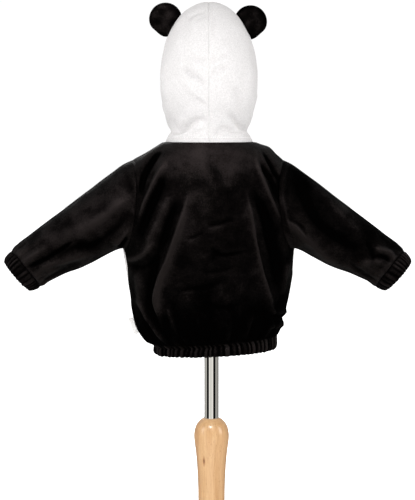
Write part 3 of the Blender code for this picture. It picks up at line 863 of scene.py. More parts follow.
class Look:
    """A material, with the nodes that the looks below share."""

    def __init__(self, name):
        self.material = bpy.data.materials.new(name)
        self.material.use_nodes = True
        self.nodes = self.material.node_tree.nodes
        self.links = self.material.node_tree.links
        self.shader = self.nodes["Principled BSDF"]

    @cached_property
    def place(self):
        """The point's place on the object."""
        return self.nodes.new("ShaderNodeTexCoord").outputs["Object"]

    def put(self, node, values):
        """Gives inputs of a node their own values, or links outputs of other nodes to them."""
        for name, value in values.items():
            if isinstance(value, bpy.types.NodeSocket):
                self.links.new(value, node.inputs[name])
            else:
                node.inputs[name].default_value = value

    def shade(self, **values):
        """Values or links for the shader's inputs; an underscore stands for a space in a name."""
        self.put(self.shader, {name.replace("_", " "): value for name, value in values.items()})

    def node(self, kind, values, output="Fac", **settings):
        """The output of a new node with these inputs and settings."""
        node = self.nodes.new("ShaderNode" + kind)
        for name, value in settings.items():
            setattr(node, name, value)
        self.put(node, values)
        return node.outputs[output]

    def noise(self, place, scale, detail=4.0, rough=0.55, warp=0.0):
        return self.node("TexNoise", {"Scale": scale, "Detail": detail, "Roughness": rough,
                                      "Distortion": warp, "Vector": place})

    def wave(self, direction, scale, warp, detail=2.0):
        return self.node("TexWave", {"Scale": scale, "Distortion": warp, "Detail": detail,
                                     "Vector": self.place}, bands_direction=direction)

    def drawn(self, scale, location=(0, 0, 0)):
        """Places scaled along the axes, and moved."""
        return self.node("Mapping", {"Scale": scale, "Location": location, "Vector": self.place}, "Vector")

    def ramp(self, value, *stops):
        """A colour for a value, from stops that each name a place and a colour or a grey."""
        node = self.nodes.new("ShaderNodeValToRGB")
        self.put(node, {"Fac": value})
        points = node.color_ramp.elements
        points.remove(points[1])
        for k, (at, colour) in enumerate(stops):
            point = points.new(at) if k else points[0]
            point.position = at
            point.color = (*(colour if isinstance(colour, tuple) else (colour,) * 3), 1)
        return node.outputs["Color"]

    def scaled(self, value, share, more):
        """A value times a share, plus more."""
        return self.node("Math", {0: value, 1: share, 2: more}, "Value", operation="MULTIPLY_ADD")

    def times(self, share, first, second):
        """The first colour, multiplied by a share of the second."""
        # the node's colours are its inputs 6 and 7 and its output 2
        return self.node("Mix", {"Factor": share, 6: first, 7: second}, 2,
                         data_type="RGBA", blend_type="MULTIPLY")

    def bumps(self, *bumps):
        """Stacks bumps, each a height, its strength and its depth in metres."""
        below = {}
        for height, strength, depth in bumps:
            values = {"Strength": strength, "Distance": depth, "Height": height, **below}
            below = {"Normal": self.node("Bump", values, "Normal")}
        self.put(self.shader, below)
        return self.material


def velour(name, dark, light, shine, roughness, sheen, tint, nap_depth, painted_light_weight, grain):
    """Pile cloth: patches of brushed nap in random tones, fine pile, and painted light and shade from the
    mesh's values: painted highlights where they are high, on ridges and lit parts, and painted shade where
    they are low, in troughs and parts turned from the light, both in colour and in how much it mirrors.

    shine is how much it mirrors, the weight of the painted light and shade how far lit and shaded parts
    differ, and grain how far the pile shows.
    """
    look = Look(name)
    patches = look.noise(look.place, 42, 6, 0.72, 0.15)
    pile = look.noise(look.place, 430, 4, 0.75)
    speck = look.noise(look.place, 2600, 2, 0.6)
    # the mesh's painted light and shade, weighted and mixed with random patches and pile
    painted_light_and_shade = look.node("Attribute", {}, attribute_name="painted_light_and_shade")
    shifted = look.scaled(patches, 0.7, 0.15 - 0.5 * painted_light_weight - 0.5 * grain)
    mixed = look.scaled(painted_light_and_shade, painted_light_weight, look.scaled(pile, grain, shifted))
    tone = look.ramp(mixed, (0.35, dark), (0.85, light))
    fleck = look.ramp(pile, (0.25, 0.62), (0.75, 1.0))
    # painted highlights: how much the pile mirrors follows the painted light and shade
    gloss = look.ramp(mixed, (0.22, 0.04 * shine), (0.48, 0.42 * shine), (0.82, 2.5 * shine))
    facing = look.ramp(look.node("LayerWeight", {"Blend": 0.5}, "Facing"), (0.45, 1.0), (0.85, 0.04))
    look.shade(Base_Color=look.times(0.8, tone, fleck), Roughness=roughness,
               Specular_IOR_Level=look.times(1.0, gloss, facing), Specular_Tint=(*tint, 1),
               Sheen_Weight=sheen, Sheen_Roughness=0.4, Sheen_Tint=(*tint, 1))
    return look.bumps((patches, 0.3, 0.0016), (pile, 0.7, nap_depth), (speck, 0.35, nap_depth * 0.5))


def knit(name, colour, shade):
    """The plain knitted side of the velour, and the jersey of the form."""
    look = Look(name)
    wave = look.wave("X", 210, 1.2, 1)
    rows = look.wave("Z", 260, 1.5)
    tone = look.ramp(look.noise(look.place, 40, 3), (0.3, shade), (0.7, colour))
    lines = look.ramp(wave, (0.0, 0.8), (0.6, 1.0))
    look.shade(Base_Color=look.times(0.7, tone, lines), Roughness=0.92, Specular_IOR_Level=0.2,
               Sheen_Weight=0.15)
    return look.bumps((wave, 0.35, 0.0003), (rows, 0.3, 0.0003))


def satin(name):
    """Woven satin ribbon of the label."""
    look = Look(name)
    wave = look.wave("Z", 700, 0.6)
    cloud = look.noise(look.place, 300, 3)
    tone = look.ramp(cloud, (0.3, (0.74, 0.73, 0.71)), (0.7, (0.86, 0.85, 0.84)))
    lines = look.ramp(wave, (0.0, 0.85), (0.5, 1.0))
    look.shade(Base_Color=look.times(0.8, tone, lines), Roughness=0.42, Sheen_Weight=0.2)
    return look.bumps((wave, 0.3, 0.00015))


def thread(name, colour):
    """Twisted sewing thread."""
    look = Look(name)
    fuzz = look.noise(look.place, 3200, 2)
    tone = look.ramp(fuzz, (0.3, tuple(0.8 * c for c in colour)), (0.7, colour))
    look.shade(Base_Color=tone, Roughness=0.6)
    return look.bumps((fuzz, 0.4, 0.0001))


def chrome(name):
    """Polished chrome with the faintest wear."""
    look = Look(name)
    smear = look.noise(look.place, 30, 5, 0.6, 0.4)
    fine = look.noise(look.place, 900, 2)
    gloss = look.ramp(smear, (0.35, 0.02), (0.75, 0.05))
    tone = look.ramp(fine, (0.3, (0.80, 0.80, 0.79)), (0.7, (0.86, 0.86, 0.85)))
    look.shade(Base_Color=tone, Roughness=gloss, Metallic=1.0)
    return look.bumps((smear, 0.04, 0.0005))


def beech(name, along, knot=None):
    """Lacquered beech with long grain, short dark flecks and, where knot says, a small knot.

    along is 0, 1 or 2 for grain that runs along x, y or z.
    """
    look = Look(name)
    grain, fleck = ([share if axis == along else 1.0 for axis in range(3)] for share in (0.06, 0.28))
    long = look.drawn(grain)
    bands = look.noise(long, 55, 4, 0.55, 0.8)
    lines = look.noise(long, 420, 3, 0.6)
    spots = look.noise(look.drawn(fleck), 760, 2, 0.5)
    tone = look.ramp(bands, (0.3, (0.45, 0.235, 0.095)), (0.5, (0.56, 0.33, 0.152)),
                     (0.72, (0.63, 0.40, 0.205)))
    line = look.ramp(lines, (0.3, (0.80, 0.72, 0.62)), (0.6, 1.0))
    spot = look.ramp(spots, (0.28, (0.55, 0.40, 0.28)), (0.37, 1.0))
    colour = look.times(0.55, look.times(0.6, tone, line), spot)
    if knot:
        squeezed = look.drawn(KNOT_SHAPE, [-k * size for k, size in zip(knot, KNOT_SHAPE)])
        away = look.node("VectorMath", {0: squeezed}, "Value", operation="LENGTH")
        dark = look.ramp(away, (0.15, (0.22, 0.10, 0.05)), (0.3, (0.62, 0.48, 0.38)), (0.8, 1.0))
        colour = look.times(1.0, colour, dark)
    look.shade(Base_Color=colour, Roughness=0.38, Coat_Weight=0.6, Coat_Roughness=0.12)
    return look.bumps((lines, 0.12, 0.0003))


def paper(name, colour, glow):
    """The studio's paper, which also glows."""
    look = Look(name)
    look.shade(Base_Color=(*colour, 1), Roughness=0.9, Emission_Color=(1, 1, 1, 1),
               Emission_Strength=glow)
    return look.material


def shining(name, strength):
    """A look that only shines."""
    look = Look(name)
    look.nodes.remove(look.shader)
    look.shader = look.nodes.new("ShaderNodeEmission")
    look.shade(Color=(1, 1, 1, 1), Strength=strength)
    look.put(look.nodes["Material Output"], {"Surface": look.shader.outputs["Emission"]})
    return look


# Pieces

def show(obj, slot, *nodes):
    """A piece, attached to the root, which may stand for nodes of the part and then hides them; slot is not
    used.
    """
    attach(obj, "root")
    if nodes:
        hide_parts(*nodes)
    return obj


def eased_rows(rows):
    """Rows without the small kinks at the heights of the table, but with each panel's edges kept."""
    rounds, edge = 30, 8
    parts = []
    for part in zip(*rows):
        grid = np.array(part)
        column = np.arange(grid.shape[1])
        share = 0.5 * smooth_step(np.minimum(column, column[::-1]), 0, edge)[:, None]
        for _ in range(rounds):
            grid[1:-1] += share * ((grid[:-2] + grid[2:]) / 2 - grid[1:-1])
        parts.append(grid)
    return list(zip(*parts))


def body_grids():
    """Rows of points of the body below and above the armpit, at each panel."""
    lower = [row_points(body_row(h)) for h in between(LOWER_HEIGHTS, FINE)]
    upper = [row_points(body_row(h)) for h in between(UPPER_HEIGHTS, FINE)[1:]]
    return lower, eased_rows(upper)


def stacked_panel(name, lower, upper, first):
    """A panel whose upper rows start at its lower rows' column first."""
    low, high = np.array(lower), np.array(upper)
    low_rows, low_columns = low.shape[:2]
    high_rows, high_columns = high.shape[:2]
    points = np.concatenate([low.reshape(-1, 3), high.reshape(-1, 3)])
    start = low_rows * low_columns
    faces = [grid_faces(low_rows, low_columns), grid_faces(high_rows, high_columns, start=start)]
    top = (low_rows - 1) * low_columns + first + np.arange(high_columns)
    above = start + np.arange(high_columns)
    faces.append(np.stack([top[:-1], top[1:], above[1:], above[:-1]], axis=1))
    return Panel(name, points, np.concatenate(faces))


def armhole_loop(lower_top, upper, side):
    """The armhole's points from the side seam up its back edge and down its front edge."""
    left, back, right = lower_top
    reach = SIDE * FINE
    above = upper[: ARM_SPANS * FINE]
    if side > 0:
        behind, ahead = back[: reach + 1], left[::-1][: reach + 1]
        back_edge, front_edge = [r[1][0] for r in above], [r[0][-1] for r in above]
    else:
        behind, ahead = back[::-1][: reach + 1], right[: reach + 1]
        back_edge, front_edge = [r[1][-1] for r in above], [r[2][0] for r in above]
    return np.array(list(behind) + back_edge + front_edge[-2::-1] + list(ahead[:0:-1]))


def body_panels(lower, upper):
    """The back and both fronts."""
    reach = SIDE * FINE
    panels = []
    for name, part, first in (("back", 1, reach), ("front_left", 0, 0), ("front_right", 2, reach)):
        panel = stacked_panel(name, [r[part] for r in lower], [r[part] for r in upper], first)
        body_rise(panel)
        panels.append(panel)
    return panels


def ring_panel(name, rings, side):
    """A panel round an arm, from its rings."""
    faces = grid_faces(*rings.shape[:2], closed=True)
    return Panel(name, rings.reshape(-1, 3), faces[:, ::-1] if side < 0 else faces)


def sleeve_panels(lower, upper):
    """Both sleeves, each with its cuff."""
    panels = []
    for side, name in ((1, "left"), (-1, "right")):
        loop = armhole_loop(lower[-1], upper, side)
        angles = whole_turn(2 * ARM_STEPS * FINE)
        own = loop - sleeve_ring(SLEEVE[0], side, angles)
        rings = [sleeve_ring(s, side, angles) + own * s.keep for s in SLEEVE[:-1]]
        rings = finer(rings + [cuff_seam(side, angles)], 10)
        panel = ring_panel("sleeve_" + name, rings, side)
        sleeve_rise(panel, side, rings)
        panels += [panel, cuff_panel(side, name)]
    return panels


def cuff_seam(side, angles):
    """The ring where sleeve and cuff meet, which bends towards the arm behind."""
    last, before = (sleeve_ring(SLEEVE[i], side, angles) for i in (-1, -2))
    way = before.mean(axis=0) - last.mean(axis=0)
    behind = last[:, 1] - last[:, 1].mean()
    bend = CUFF_BEND * smooth_step(behind / np.abs(behind).max(), 0.0, 1.0)
    return last + way * (bend / np.linalg.norm(way))[:, None]


def cuff_panel(side, name):
    """A gathered cuff, sewn to its sleeve."""
    columns, steps, radius = 360, 9, 36
    angles = whole_turn(columns)
    rings = finer([cuff_seam(side, angles)] + [sleeve_ring(s, side, angles) for s in CUFF], steps)
    panel = ring_panel("cuff_" + name, rings, side)
    level = np.repeat(np.arange(len(rings)) / (len(rings) - 1), columns)
    along = np.tile(angles, len(rings)) * radius
    band_rise(panel, along, 2 * pi * radius, level, 61 + side, 7.2, 3.4)
    return panel


def joined(parts):
    """A row's left front, whole back and right front as one line."""
    left, back, right = parts
    return np.concatenate([left, back[1:-1], right])


def hem_band_panel():
    """The gathered band, from the body's seam down."""
    first = joined(row_points(body_row(BODY[0].height), 16))
    rings = [joined(row_points(body_row(BAND_SEAM), 16))]
    for band in HEM_BAND:
        away = np.hypot(first[:, 0], first[:, 1])
        ring = first.copy()
        ring[:, :2] *= (1 + band.wider / away)[:, None]
        ring[:, 2] += band.level * first[:, 0] - band.below
        rings.append(ring)
    rings = finer(rings, 8)[::-1]
    rows, columns = rings.shape[:2]
    panel = Panel("hem_band", rings.reshape(-1, 3), grid_faces(rows, columns))
    level = 1 - np.repeat(np.arange(rows) / (rows - 1), columns)
    lengths = lengths_along(first)
    band_rise(panel, np.tile(lengths, rows), lengths[-1] + 0.01, level, 71, 8.2, 4.4)
    return panel


def hood_panels(upper):
    """Both halves of the hood, the whole's rings, and each half's climb from the neck."""
    rings = finer([joined(upper[-1])] + [hood_rib(r) for r in HOOD], FINE)
    middle = 2 * QUARTER * FINE
    steps = np.linalg.norm(np.diff(rings, axis=0), axis=2)
    climb = np.concatenate([np.zeros((1, rings.shape[1])), np.cumsum(steps, axis=0)])
    panels, climbs = [], []
    for name, part, seam in (("left", slice(0, middle + 1), -1), ("right", slice(middle, None), 0)):
        grid, up = rings[:, part], climb[:, part]
        panel = Panel("hood_" + name, grid.reshape(-1, 3), grid_faces(*grid.shape[:2]))
        from_seam = np.linalg.norm(grid - grid[:, seam][:, None], axis=2)
        hood_rise(panel, up.ravel(), (up[-1][None] - up).ravel(), from_seam.ravel())
        panels.append(panel)
        climbs.append(up)
    return panels, rings, climbs


# What each cut piece was before it was sewn: its width and length in metres, its area in square
# metres where it isn't a rectangle, how it is held and on what; and the rise that counts as 1 in
# the painted light and shade of its pile, which paints ridges lighter and troughs darker
Cut = namedtuple("Cut", "slot wall flat area held rests_on full")
CUTS = {"back": Cut(BLACK, WALL, (0.44, 0.40), 0.128, "gathered", ("form_torso", "hem_band"), 12)}
for which in ("left", "right"):
    CUTS["front_" + which] = Cut(WHITE, WALL, (0.24, 0.38), 0.064, "gathered",
                                 ("form_torso", "hem_band"), 12)
    CUTS["sleeve_" + which] = Cut(BLACK, WALL, (0.40, 0.24), 0.085, "gathered",
                                  ("back", "cuff_" + which), 12)
    CUTS["cuff_" + which] = Cut(BLACK, BAND_WALL, (0.235, 0.026), None, "gathered",
                                ("sleeve_" + which,), 4.2)
    CUTS["hood_" + which] = Cut(WHITE, WALL, (0.27, 0.31), 0.066, "draped",
                                ("head_block", "form_torso"), 12)
CUTS["hem_band"] = Cut(BLACK, BAND_WALL, (0.60, 0.028), None, "gathered", ("back", "front_left"), 2.8)


def build_cloth(black_sides, white_sides):
    """All the sewn panels; returns the hood's panels, rings and climbs, and the body's rows."""
    lower, upper = body_grids()
    hoods, rings, climbs = hood_panels(upper)
    panels = body_panels(lower, upper) + sleeve_panels(lower, upper) + [hem_band_panel()] + hoods
    share_seam_normals(panels)
    for panel in panels:
        cut = CUTS[panel.name]
        points, faces, inside = panel.solid(cut.wall, HOOD_GAP if "hood" in panel.name else SEAM_GAP)
        sides = black_sides if cut.slot == BLACK else white_sides
        obj = make_mesh(panel.name + "_cloth", points, faces, sides, inside)
        soft = np.arange(len(faces)) < 2 * len(panel.faces)
        obj.data.polygons.foreach_set("use_smooth", soft)
        painted_light_and_shade = np.full(len(points), 0.5)
        # painted highlights on ridges and painted shade in troughs, by the rise, with the panel's own painted
        # light and shade
        painted_light_and_shade[:len(panel.rise)] = 0.5 + panel.rise / cut.full + panel.shade
        mark_painted_light(obj, painted_light_and_shade)
        show(obj, cut.slot, panel.name)
    return hoods, rings, climbs, lower


def line_at(outer, normals, distance, wanted):
    """The line across a grid where a distance that grows by rows has the wanted value."""
    points, ways = [], []
    for c in range(outer.shape[1]):
        at = np.interp(wanted, distance[:, c], np.arange(len(distance)))
        low = min(int(at), len(distance) - 2)
        t = at - low
        points.append(outer[low, c] * (1 - t) + outer[low + 1, c] * t)
        ways.append(normals[low, c])
    return np.array(points), np.array(ways)


def stitch_row(name, line, normals, material):
    """A row of short stitches, each a small bowed thread that dips into the cloth."""
    lengths = lengths_along(line)
    points, faces = [], []
    rings, sides = 5, 6
    for k in range(int(lengths[-1] / STITCH_PITCH)):
        at = (k + 0.5) * STITCH_PITCH
        ends = [spot_at(line, lengths, at + s * STITCH_LENGTH / 2) for s in (-1, 1)]
        near = int(np.clip(np.searchsorted(lengths, at), 0, len(line) - 1))
        up = normals[near]
        along = ends[1] - ends[0]
        along /= max(np.linalg.norm(along), 1e-9)
        across = np.cross(up, along)
        across /= max(np.linalg.norm(across), 1e-9)
        up = np.cross(along, across)
        start = len(points)
        for r in range(rings):
            s = -1 + 2 * r / (rings - 1)
            bow = 0.22 - 0.3 * s * s
            centre = (ends[0] + ends[1]) / 2 + along * s * STITCH_LENGTH / 2 + up * bow
            wide = STITCH_RADIUS * sqrt(max(0.08, 1 - 0.85 * s**4))
            for a in range(sides):
                turn = 2 * pi * a / sides
                points.append(centre + wide * (across * cos(turn) + up * sin(turn)))
        faces += [tuple(f) for f in grid_faces(rings, sides, True, start)[:, [0, 3, 2, 1]]]
        faces.append(tuple(range(start, start + sides)))
        faces.append(tuple(reversed(range(len(points) - sides, len(points)))))
    return show(make_mesh(name, points, faces, [material]), WHITE)


def build_ears(rings, black):
    """Stuffed round ears, sewn round their edge, resting on the hood's side."""
    hood = [Vector(p) for p in rings.reshape(-1, 3)]
    faces = grid_faces(*rings.shape[:2], closed=True)
    tree = BVHTree.FromPolygons(hood, [tuple(map(int, f)) for f in faces])
    ringed, turns, off_hood = 22, 120, 0.4
    turn = whole_turn(turns)
    for ear in EARS:
        source = 81 if ear.out > 0 else 82
        centre = np.array((HOOD_CENTRE + ear.out, EAR_BACK, ear.up))
        pleat, _ = gathers(turn * EAR_RADIUS, 5.5, source, 2 * pi * EAR_RADIUS, 0.4)
        off_low = turn - 1.5 * pi
        off_side = off_low - 0.72 * np.sign(ear.out)
        low = 1 + 0.06 * bell(off_low, 0.3) - 0.07 * bell(off_side, 0.36)
        wave = np.sin(3 * turn + source - 2), np.sin(3 * turn + source + 2)
        grid = []
        # from the middle of one face out to the rim, then back in to the middle of the other
        steps = [(-1, (i + 1) / ringed) for i in range(ringed)]
        steps += [(1, (ringed - i) / ringed) for i in range(1, ringed)]
        for face, share in steps:
            plump = (1 - share**2.6) ** 0.62
            half = EAR_HALF_THICK * plump + 0.25 + 0.55 * (pleat - 0.5) * bell(share, 0.1, 0.88)
            half = half + 0.35 * wave[face > 0] * (1 - share) * share * 4
            reach = EAR_RADIUS * share * low
            grid.append(np.stack([reach * np.cos(turn), -face * half, reach * np.sin(turn)], axis=1))
        middle = np.array((0, EAR_HALF_THICK + 0.25, 0))
        flat = np.concatenate([np.array(grid).reshape(-1, 3) + centre, [centre + middle], [centre - middle]])
        made = [tuple(f) for f in grid_faces(len(grid), turns, closed=True)]
        first, last = len(flat) - 2, len(flat) - 1
        end = (len(grid) - 1) * turns
        for a in range(turns):
            b = (a + 1) % turns
            made += [(b, a, first), (end + a, end + b, last)]
        for i, p in enumerate(flat):
            spot, normal, _, _ = tree.find_nearest(Vector(p))
            if (Vector(p) - spot).dot(normal) < off_hood:
                flat[i] = np.array(spot + normal * off_hood)
        obj = make_mesh(ear.name + "_pad", flat, made, [black])
        # values of painted light and shade: the left ear lighter than the right one, both darker near the
        # rim, with a random ripple of tone
        rim = bell(np.hypot(*(flat - centre)[:, [0, 2]].T) / EAR_RADIUS, 0.1, 0.92)
        tone = 0.52 if ear.out > 0 else 0.42
        mark_painted_light(obj, tone + 0.12 * ripple(flat, 16, source) - 0.12 * rim)
        show(obj, BLACK, ear.name)


def build_label(lower, material):
    """The bare label: a short folded ribbon that stands out of the left side seam."""
    seam = np.array([row[0][-1] for row in lower])
    low, high, reach, half, stitched = 42, 68, 10.2, 0.55, 0.6
    straight, fold = 0.46, 0.08
    levels = np.linspace(low, high, 22)
    loop = []
    for u in np.linspace(0, 1, 33):
        # out along one face, round the fold and back along the other
        if u < straight:
            loop.append((stitched + (reach - half) * u / straight, half))
        elif u > straight + fold:
            loop.append((stitched + (reach - half) * (1 - u) / straight, -half))
        else:
            a = pi * (u - straight) / fold
            loop.append((stitched + reach - half + half * sin(a), half * cos(a)))
    points = []
    for k, level in enumerate(levels):
        at = spot_at(seam, seam[:, 2], level)
        ahead = spot_at(seam, seam[:, 2], level + 1) - at
        ahead /= np.linalg.norm(ahead)
        out = np.cross(np.array((0, 1, 0)), ahead)
        out /= np.linalg.norm(out)
        across = np.cross(out, ahead)
        share = k / (len(levels) - 1)
        for away, side in loop:
            bend = 0.9 * sin(pi * share * 1.3) * (away / 10) ** 2 - 0.5 * (away / 10) ** 2
            points.append(at + out * away + across * (side + bend))
    panel = Panel("side_label", np.array(points), grid_faces(len(levels), len(loop)))
    if (panel.normals[5] * (panel.points[5] - panel.points[27])).sum() < 0:
        panel = Panel("side_label", panel.points, panel.faces[:, ::-1])
    solid, faces, _ = panel.solid(LABEL_WALL, 0)
    obj = make_mesh("side_label_ribbon", solid, faces, [material])
    show(obj, "label_satin", "side_label")


def rings_mesh(name, rings, material, slot, *nodes):
    """A closed body through rings, with flat ends."""
    rings = np.asarray(rings)
    rows, columns = rings.shape[:2]
    faces = [tuple(f) for f in grid_faces(rows, columns, closed=True)]
    faces.append(tuple(reversed(range(columns))))
    faces.append(tuple(range((rows - 1) * columns, rows * columns)))
    obj = make_mesh(name, rings.reshape(-1, 3), faces, [material])
    return show(obj, slot, *nodes)


def round_ring(x_half, back, front, height, centre=(0.0, 0.0), sides=128):
    """A level oval whose depth may differ behind and in front."""
    angle = whole_turn(sides)
    depth = np.where(np.cos(angle) > 0, front, back)
    return np.stack([centre[0] + x_half * np.sin(angle), centre[1] - depth * np.cos(angle),
                     np.full(sides, float(height))], axis=1)


def inset_ring(row, inset, angles):
    """A row of the body, moved in square to its surface."""
    here = body_points(row, angles)
    across = body_points(row, angles + 0.01) - body_points(row, angles - 0.01)
    rise = here - body_points(body_row(row.height - 0.5), angles)
    normal = np.cross(across, rise)
    normal /= np.linalg.norm(normal, axis=1, keepdims=True)
    return here - normal * inset


def form_ring(r):
    """A ring of the form from its line in the tables."""
    return round_ring(r.half, r.back, r.front, r.height, (HOOD_CENTRE, 0))


def build_form(material):
    """The form's torso, with a socket for the pole."""
    turns = whole_turn(128)
    turns = np.where(turns <= pi, turns, turns - 2 * pi)
    rings = [form_ring(r) for r in FORM_LOWER]
    for upper in FORM_UPPER:
        row = body_row(upper.height)
        row = row._replace(half=upper.half, back=row.back - upper.inset, front=row.front - upper.inset)
        rings.append(body_points(row, turns))
    rings += [inset_ring(body_row(h), SHOULDER_INSET, turns) for h in FORM_SHOULDERS]
    rings += [form_ring(r) for r in FORM_NECK]
    first = FORM_LOWER[0]
    low = first.height
    # the socket for the pole, from its inner end out to the rounded lower edge
    socket = [round_ring(r, r, r, height) for r, height in (
        (BORE_RADIUS, low + SOCKET_DEEP), (BORE_RADIUS, low + 1), (BORE_RADIUS + 1, low))]
    socket.append(form_ring(first._replace(half=first.half - 3, back=first.back - 3, front=first.front - 3)))
    rings_mesh("form_torso_skin", np.concatenate([socket, finer(rings, 5)]), material, "form_cloth",
               "form_torso")


def build_head(material):
    """The smooth block in the hood: an ellipsoid, cut flat at the neck."""
    centre, half = (4.8, -8, 503.5), (69.8, 71.8, 99.9)
    neck, inner_neck = 412.6, 412.5
    first = asin((neck - centre[2]) / half[2])
    sizes = [(cos(first) * share, inner_neck) for share in (0.3, 0.6, 0.97)]
    sizes += [(cos(a), centre[2] + half[2] * sin(a)) for a in np.linspace(first, pi / 2 * 0.985, 70)]
    rings = [round_ring(half[0] * s, half[1] * s, half[1] * s, height, centre[:2]) for s, height in sizes]
    rings_mesh("head_block_skin", rings, material, "form_cloth", "head_block")


def lathe(name, profile, material, slot, *nodes):
    """A turned body from radius and height pairs, in millimetres over the floor."""
    rings = [round_ring(r, r, r, z - HEM_HEIGHT, sides=160) for r, z in profile]
    return rings_mesh(name, rings, material, slot, *nodes)


def build_stand(metal, wood, base_wood):
    """The pole, the turned column and the base."""
    end = [(POLE_RADIUS - 1.4, 0), (POLE_RADIUS - 0.5, 0), (POLE_RADIUS, 0.6)]
    profile = [(r, POLE_LOW + inward) for r, inward in end]
    profile += [(POLE_RADIUS, z) for z in np.linspace(POLE_LOW + 1, POLE_HIGH - 1, 24)]
    profile += [(r, POLE_HIGH - inward) for r, inward in reversed(end)]
    lathe("pole_tube", profile, metal, "chrome", "pole")
    outline = finer(np.array([[t.radius, COLUMN_TOP - t.down] for t in COLUMN])[::-1], 8)
    mouth = [(COLUMN[0].radius - 0.3, COLUMN_TOP)]
    mouth += [(BORE_RADIUS + wider, COLUMN_TOP - down)
              for wider, down in ((0.5, 0.1), (0, 0.7), (0, 20), (0, COLUMN_BORE))]
    lathe("column_turned", [tuple(p) for p in outline] + mouth, wood, "beech", "column")
    profile = [(BASE_RADIUS - r, z) for r, z in ((8, 0), (1.5, 0.02), (0.4, 0.5), (0, 1.6))]
    profile += [(BASE_RADIUS - BASE_EDGE + BASE_EDGE * cos(a), BASE_THICK - BASE_EDGE + BASE_EDGE * sin(a))
                for a in np.linspace(0, pi / 2, 12)]
    profile += [(r, BASE_THICK) for r in (120, 90, 60, 40)]
    lathe("base_turned", profile, base_wood, "beech", "base")


# Studio

def aimed(obj, place, aim):
    """Puts a light or camera into the scene, turned to what it aims at."""
    obj.location = place
    obj.rotation_euler = (Vector(aim) - Vector(place)).to_track_quat("-Z", "Y").to_euler()
    bpy.context.scene.collection.objects.link(obj)
    return obj


def build_camera():
    """The camera of the photograph."""
    data = bpy.data.cameras.new("photo_camera")
    data.sensor_fit = "VERTICAL"
    data.sensor_height = FRAME_HIGH
    data.lens = CAMERA_LENS
    data.clip_end = 50
    camera = bpy.data.objects.new("photo_camera", data)
    bpy.context.scene.camera = aimed(camera, CAMERA_AT, CAMERA_AIM)


def stage_object(name, points, faces, material, camera=True, lights=True, shadows=True, mirrored=True):
    """Part of the studio, which may be left out of what the camera sees or what lights the cloth."""
    mesh = bpy.data.meshes.new(name)
    mesh.from_pydata(points, [], faces)
    mesh.materials.append(material)
    obj = bpy.data.objects.new(name, mesh)
    bpy.context.scene.collection.objects.link(obj)
    obj.visible_camera = camera
    obj.visible_diffuse = lights
    obj.visible_transmission = lights
    obj.visible_shadow = shadows
    obj.visible_glossy = mirrored


def tube_round(radius, low, high):
    """Points and faces of a wall all round, and how many sides it has."""
    sides = 96
    points = [(radius * cos(2 * pi * i / sides), radius * sin(2 * pi * i / sides), z)
              for z in (low, high) for i in range(sides)]
    faces = [(i, (i + 1) % sides, (i + 1) % sides + sides, i + sides) for i in range(sides)]
    return points, faces, sides


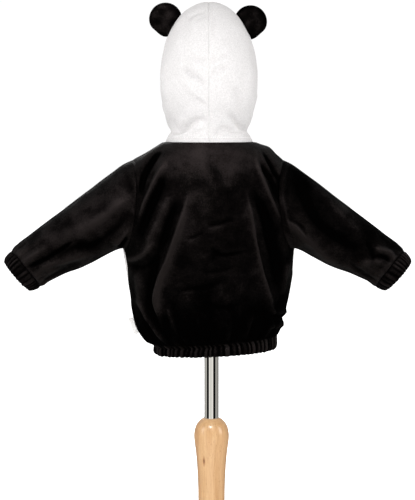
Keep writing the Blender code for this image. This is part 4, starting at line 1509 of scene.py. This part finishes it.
def build_studio():
    """The light, the floor and what polished surfaces mirror."""
    scene = bpy.context.scene
    scene.view_settings.view_transform = "Standard"
    scene.view_settings.look = "None"
    world = bpy.data.worlds.new("studio")
    world.use_nodes = True
    background = world.node_tree.nodes["Background"]
    background.inputs["Color"].default_value = (1.0, 1.0, 1.0, 1)
    background.inputs["Strength"].default_value = WORLD_LIGHT
    scene.world = world

    # The white surroundings that the camera sees, which don't light the object
    points, faces, sides = tube_round(*SURROUND)
    faces += [tuple(range(sides, 2 * sides)), tuple(reversed(range(sides)))]
    stage_object("studio_surround", points, faces, shining("studio_white", 1.02).material,
                 lights=False, shadows=False, mirrored=False)

    # The floor, pale with a soft shadow
    corners = [(x * FLOOR_HALF, y * FLOOR_HALF, FLOOR_LEVEL) for x, y in ((-1, -1), (1, -1), (1, 1), (-1, 1))]
    stage_object("studio_floor", corners, [(0, 1, 2, 3)], paper("studio_paper", (0.8, 0.8, 0.8), FLOOR_GLOW),
                 mirrored=False)

    # The room that polished surfaces mirror: white boxes, black flags and grey corners
    look = shining("studio_mirrored", 1.0)
    turn = look.node("TexGradient", {"Vector": look.place}, gradient_type="RADIAL")
    look.shade(Color=look.ramp(turn, *((at / 360, (grey * 1.0, grey * 0.97, grey * 0.91))
                                       for at, grey in ROOM)))
    points, faces, _ = tube_round(*ROOM_WALL)
    stage_object("studio_room", points, faces, look.material, camera=False, lights=False, shadows=False)

    for box in BOXES:
        data = bpy.data.lights.new(box.name, "AREA")
        data.shape = "RECTANGLE"
        data.size, data.size_y = box.size
        data.energy = box.power
        aimed(bpy.data.objects.new(box.name, data), box.place, box.aim)


def main():
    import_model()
    build_camera()
    build_studio()
    black = velour(BLACK, dark=(0.0003, 0.00026, 0.00026), light=(0.0019, 0.0016, 0.0015), shine=0.085,
                   roughness=0.56, sheen=0.0, tint=(1.0, 0.80, 0.78), nap_depth=0.0004, painted_light_weight=1.0, grain=0.6)
    white = velour(WHITE, dark=(0.678, 0.661, 0.658), light=(0.708, 0.691, 0.688), shine=0.1,
                   roughness=0.9, sheen=0.1, tint=(0.9, 0.9, 0.9), nap_depth=0.0002, painted_light_weight=0.5, grain=0.2)
    black_back = knit("velour_black_reverse", (0.02, 0.018, 0.018), (0.012, 0.011, 0.011))
    white_back = knit("velour_white_reverse", (0.78, 0.77, 0.76), (0.70, 0.69, 0.68))
    jersey = knit("form_jersey", (0.66, 0.61, 0.52), (0.60, 0.55, 0.47))
    hoods, rings, climbs, lower = build_cloth((black, black_back), (white, white_back))
    white_thread = thread("thread_white", (0.82, 0.81, 0.80))
    for side, panel, climb in zip(("left", "right"), hoods, climbs):
        outer = (panel.points + panel.normals * panel.rise[:, None]).reshape(*climb.shape, 3)
        normals = panel.normals.reshape(*climb.shape, 3)
        for seam, distance, wanted in (("neck", climb, NECK_STITCHES),
                                       ("face", climb - climb[-1][None], -FACE_STITCHES)):
            line, ways = line_at(outer, normals, distance, wanted)
            stitch_row(f"hood_{seam}_stitches_{side}", line, ways, white_thread)
    build_ears(rings, black)
    build_label(lower, satin("label_satin"))
    build_form(jersey)
    build_head(jersey)
    build_stand(chrome("chrome"), beech("beech", 2, KNOT), beech("beech_base", 0))
    bpy.context.view_layer.update()


main()
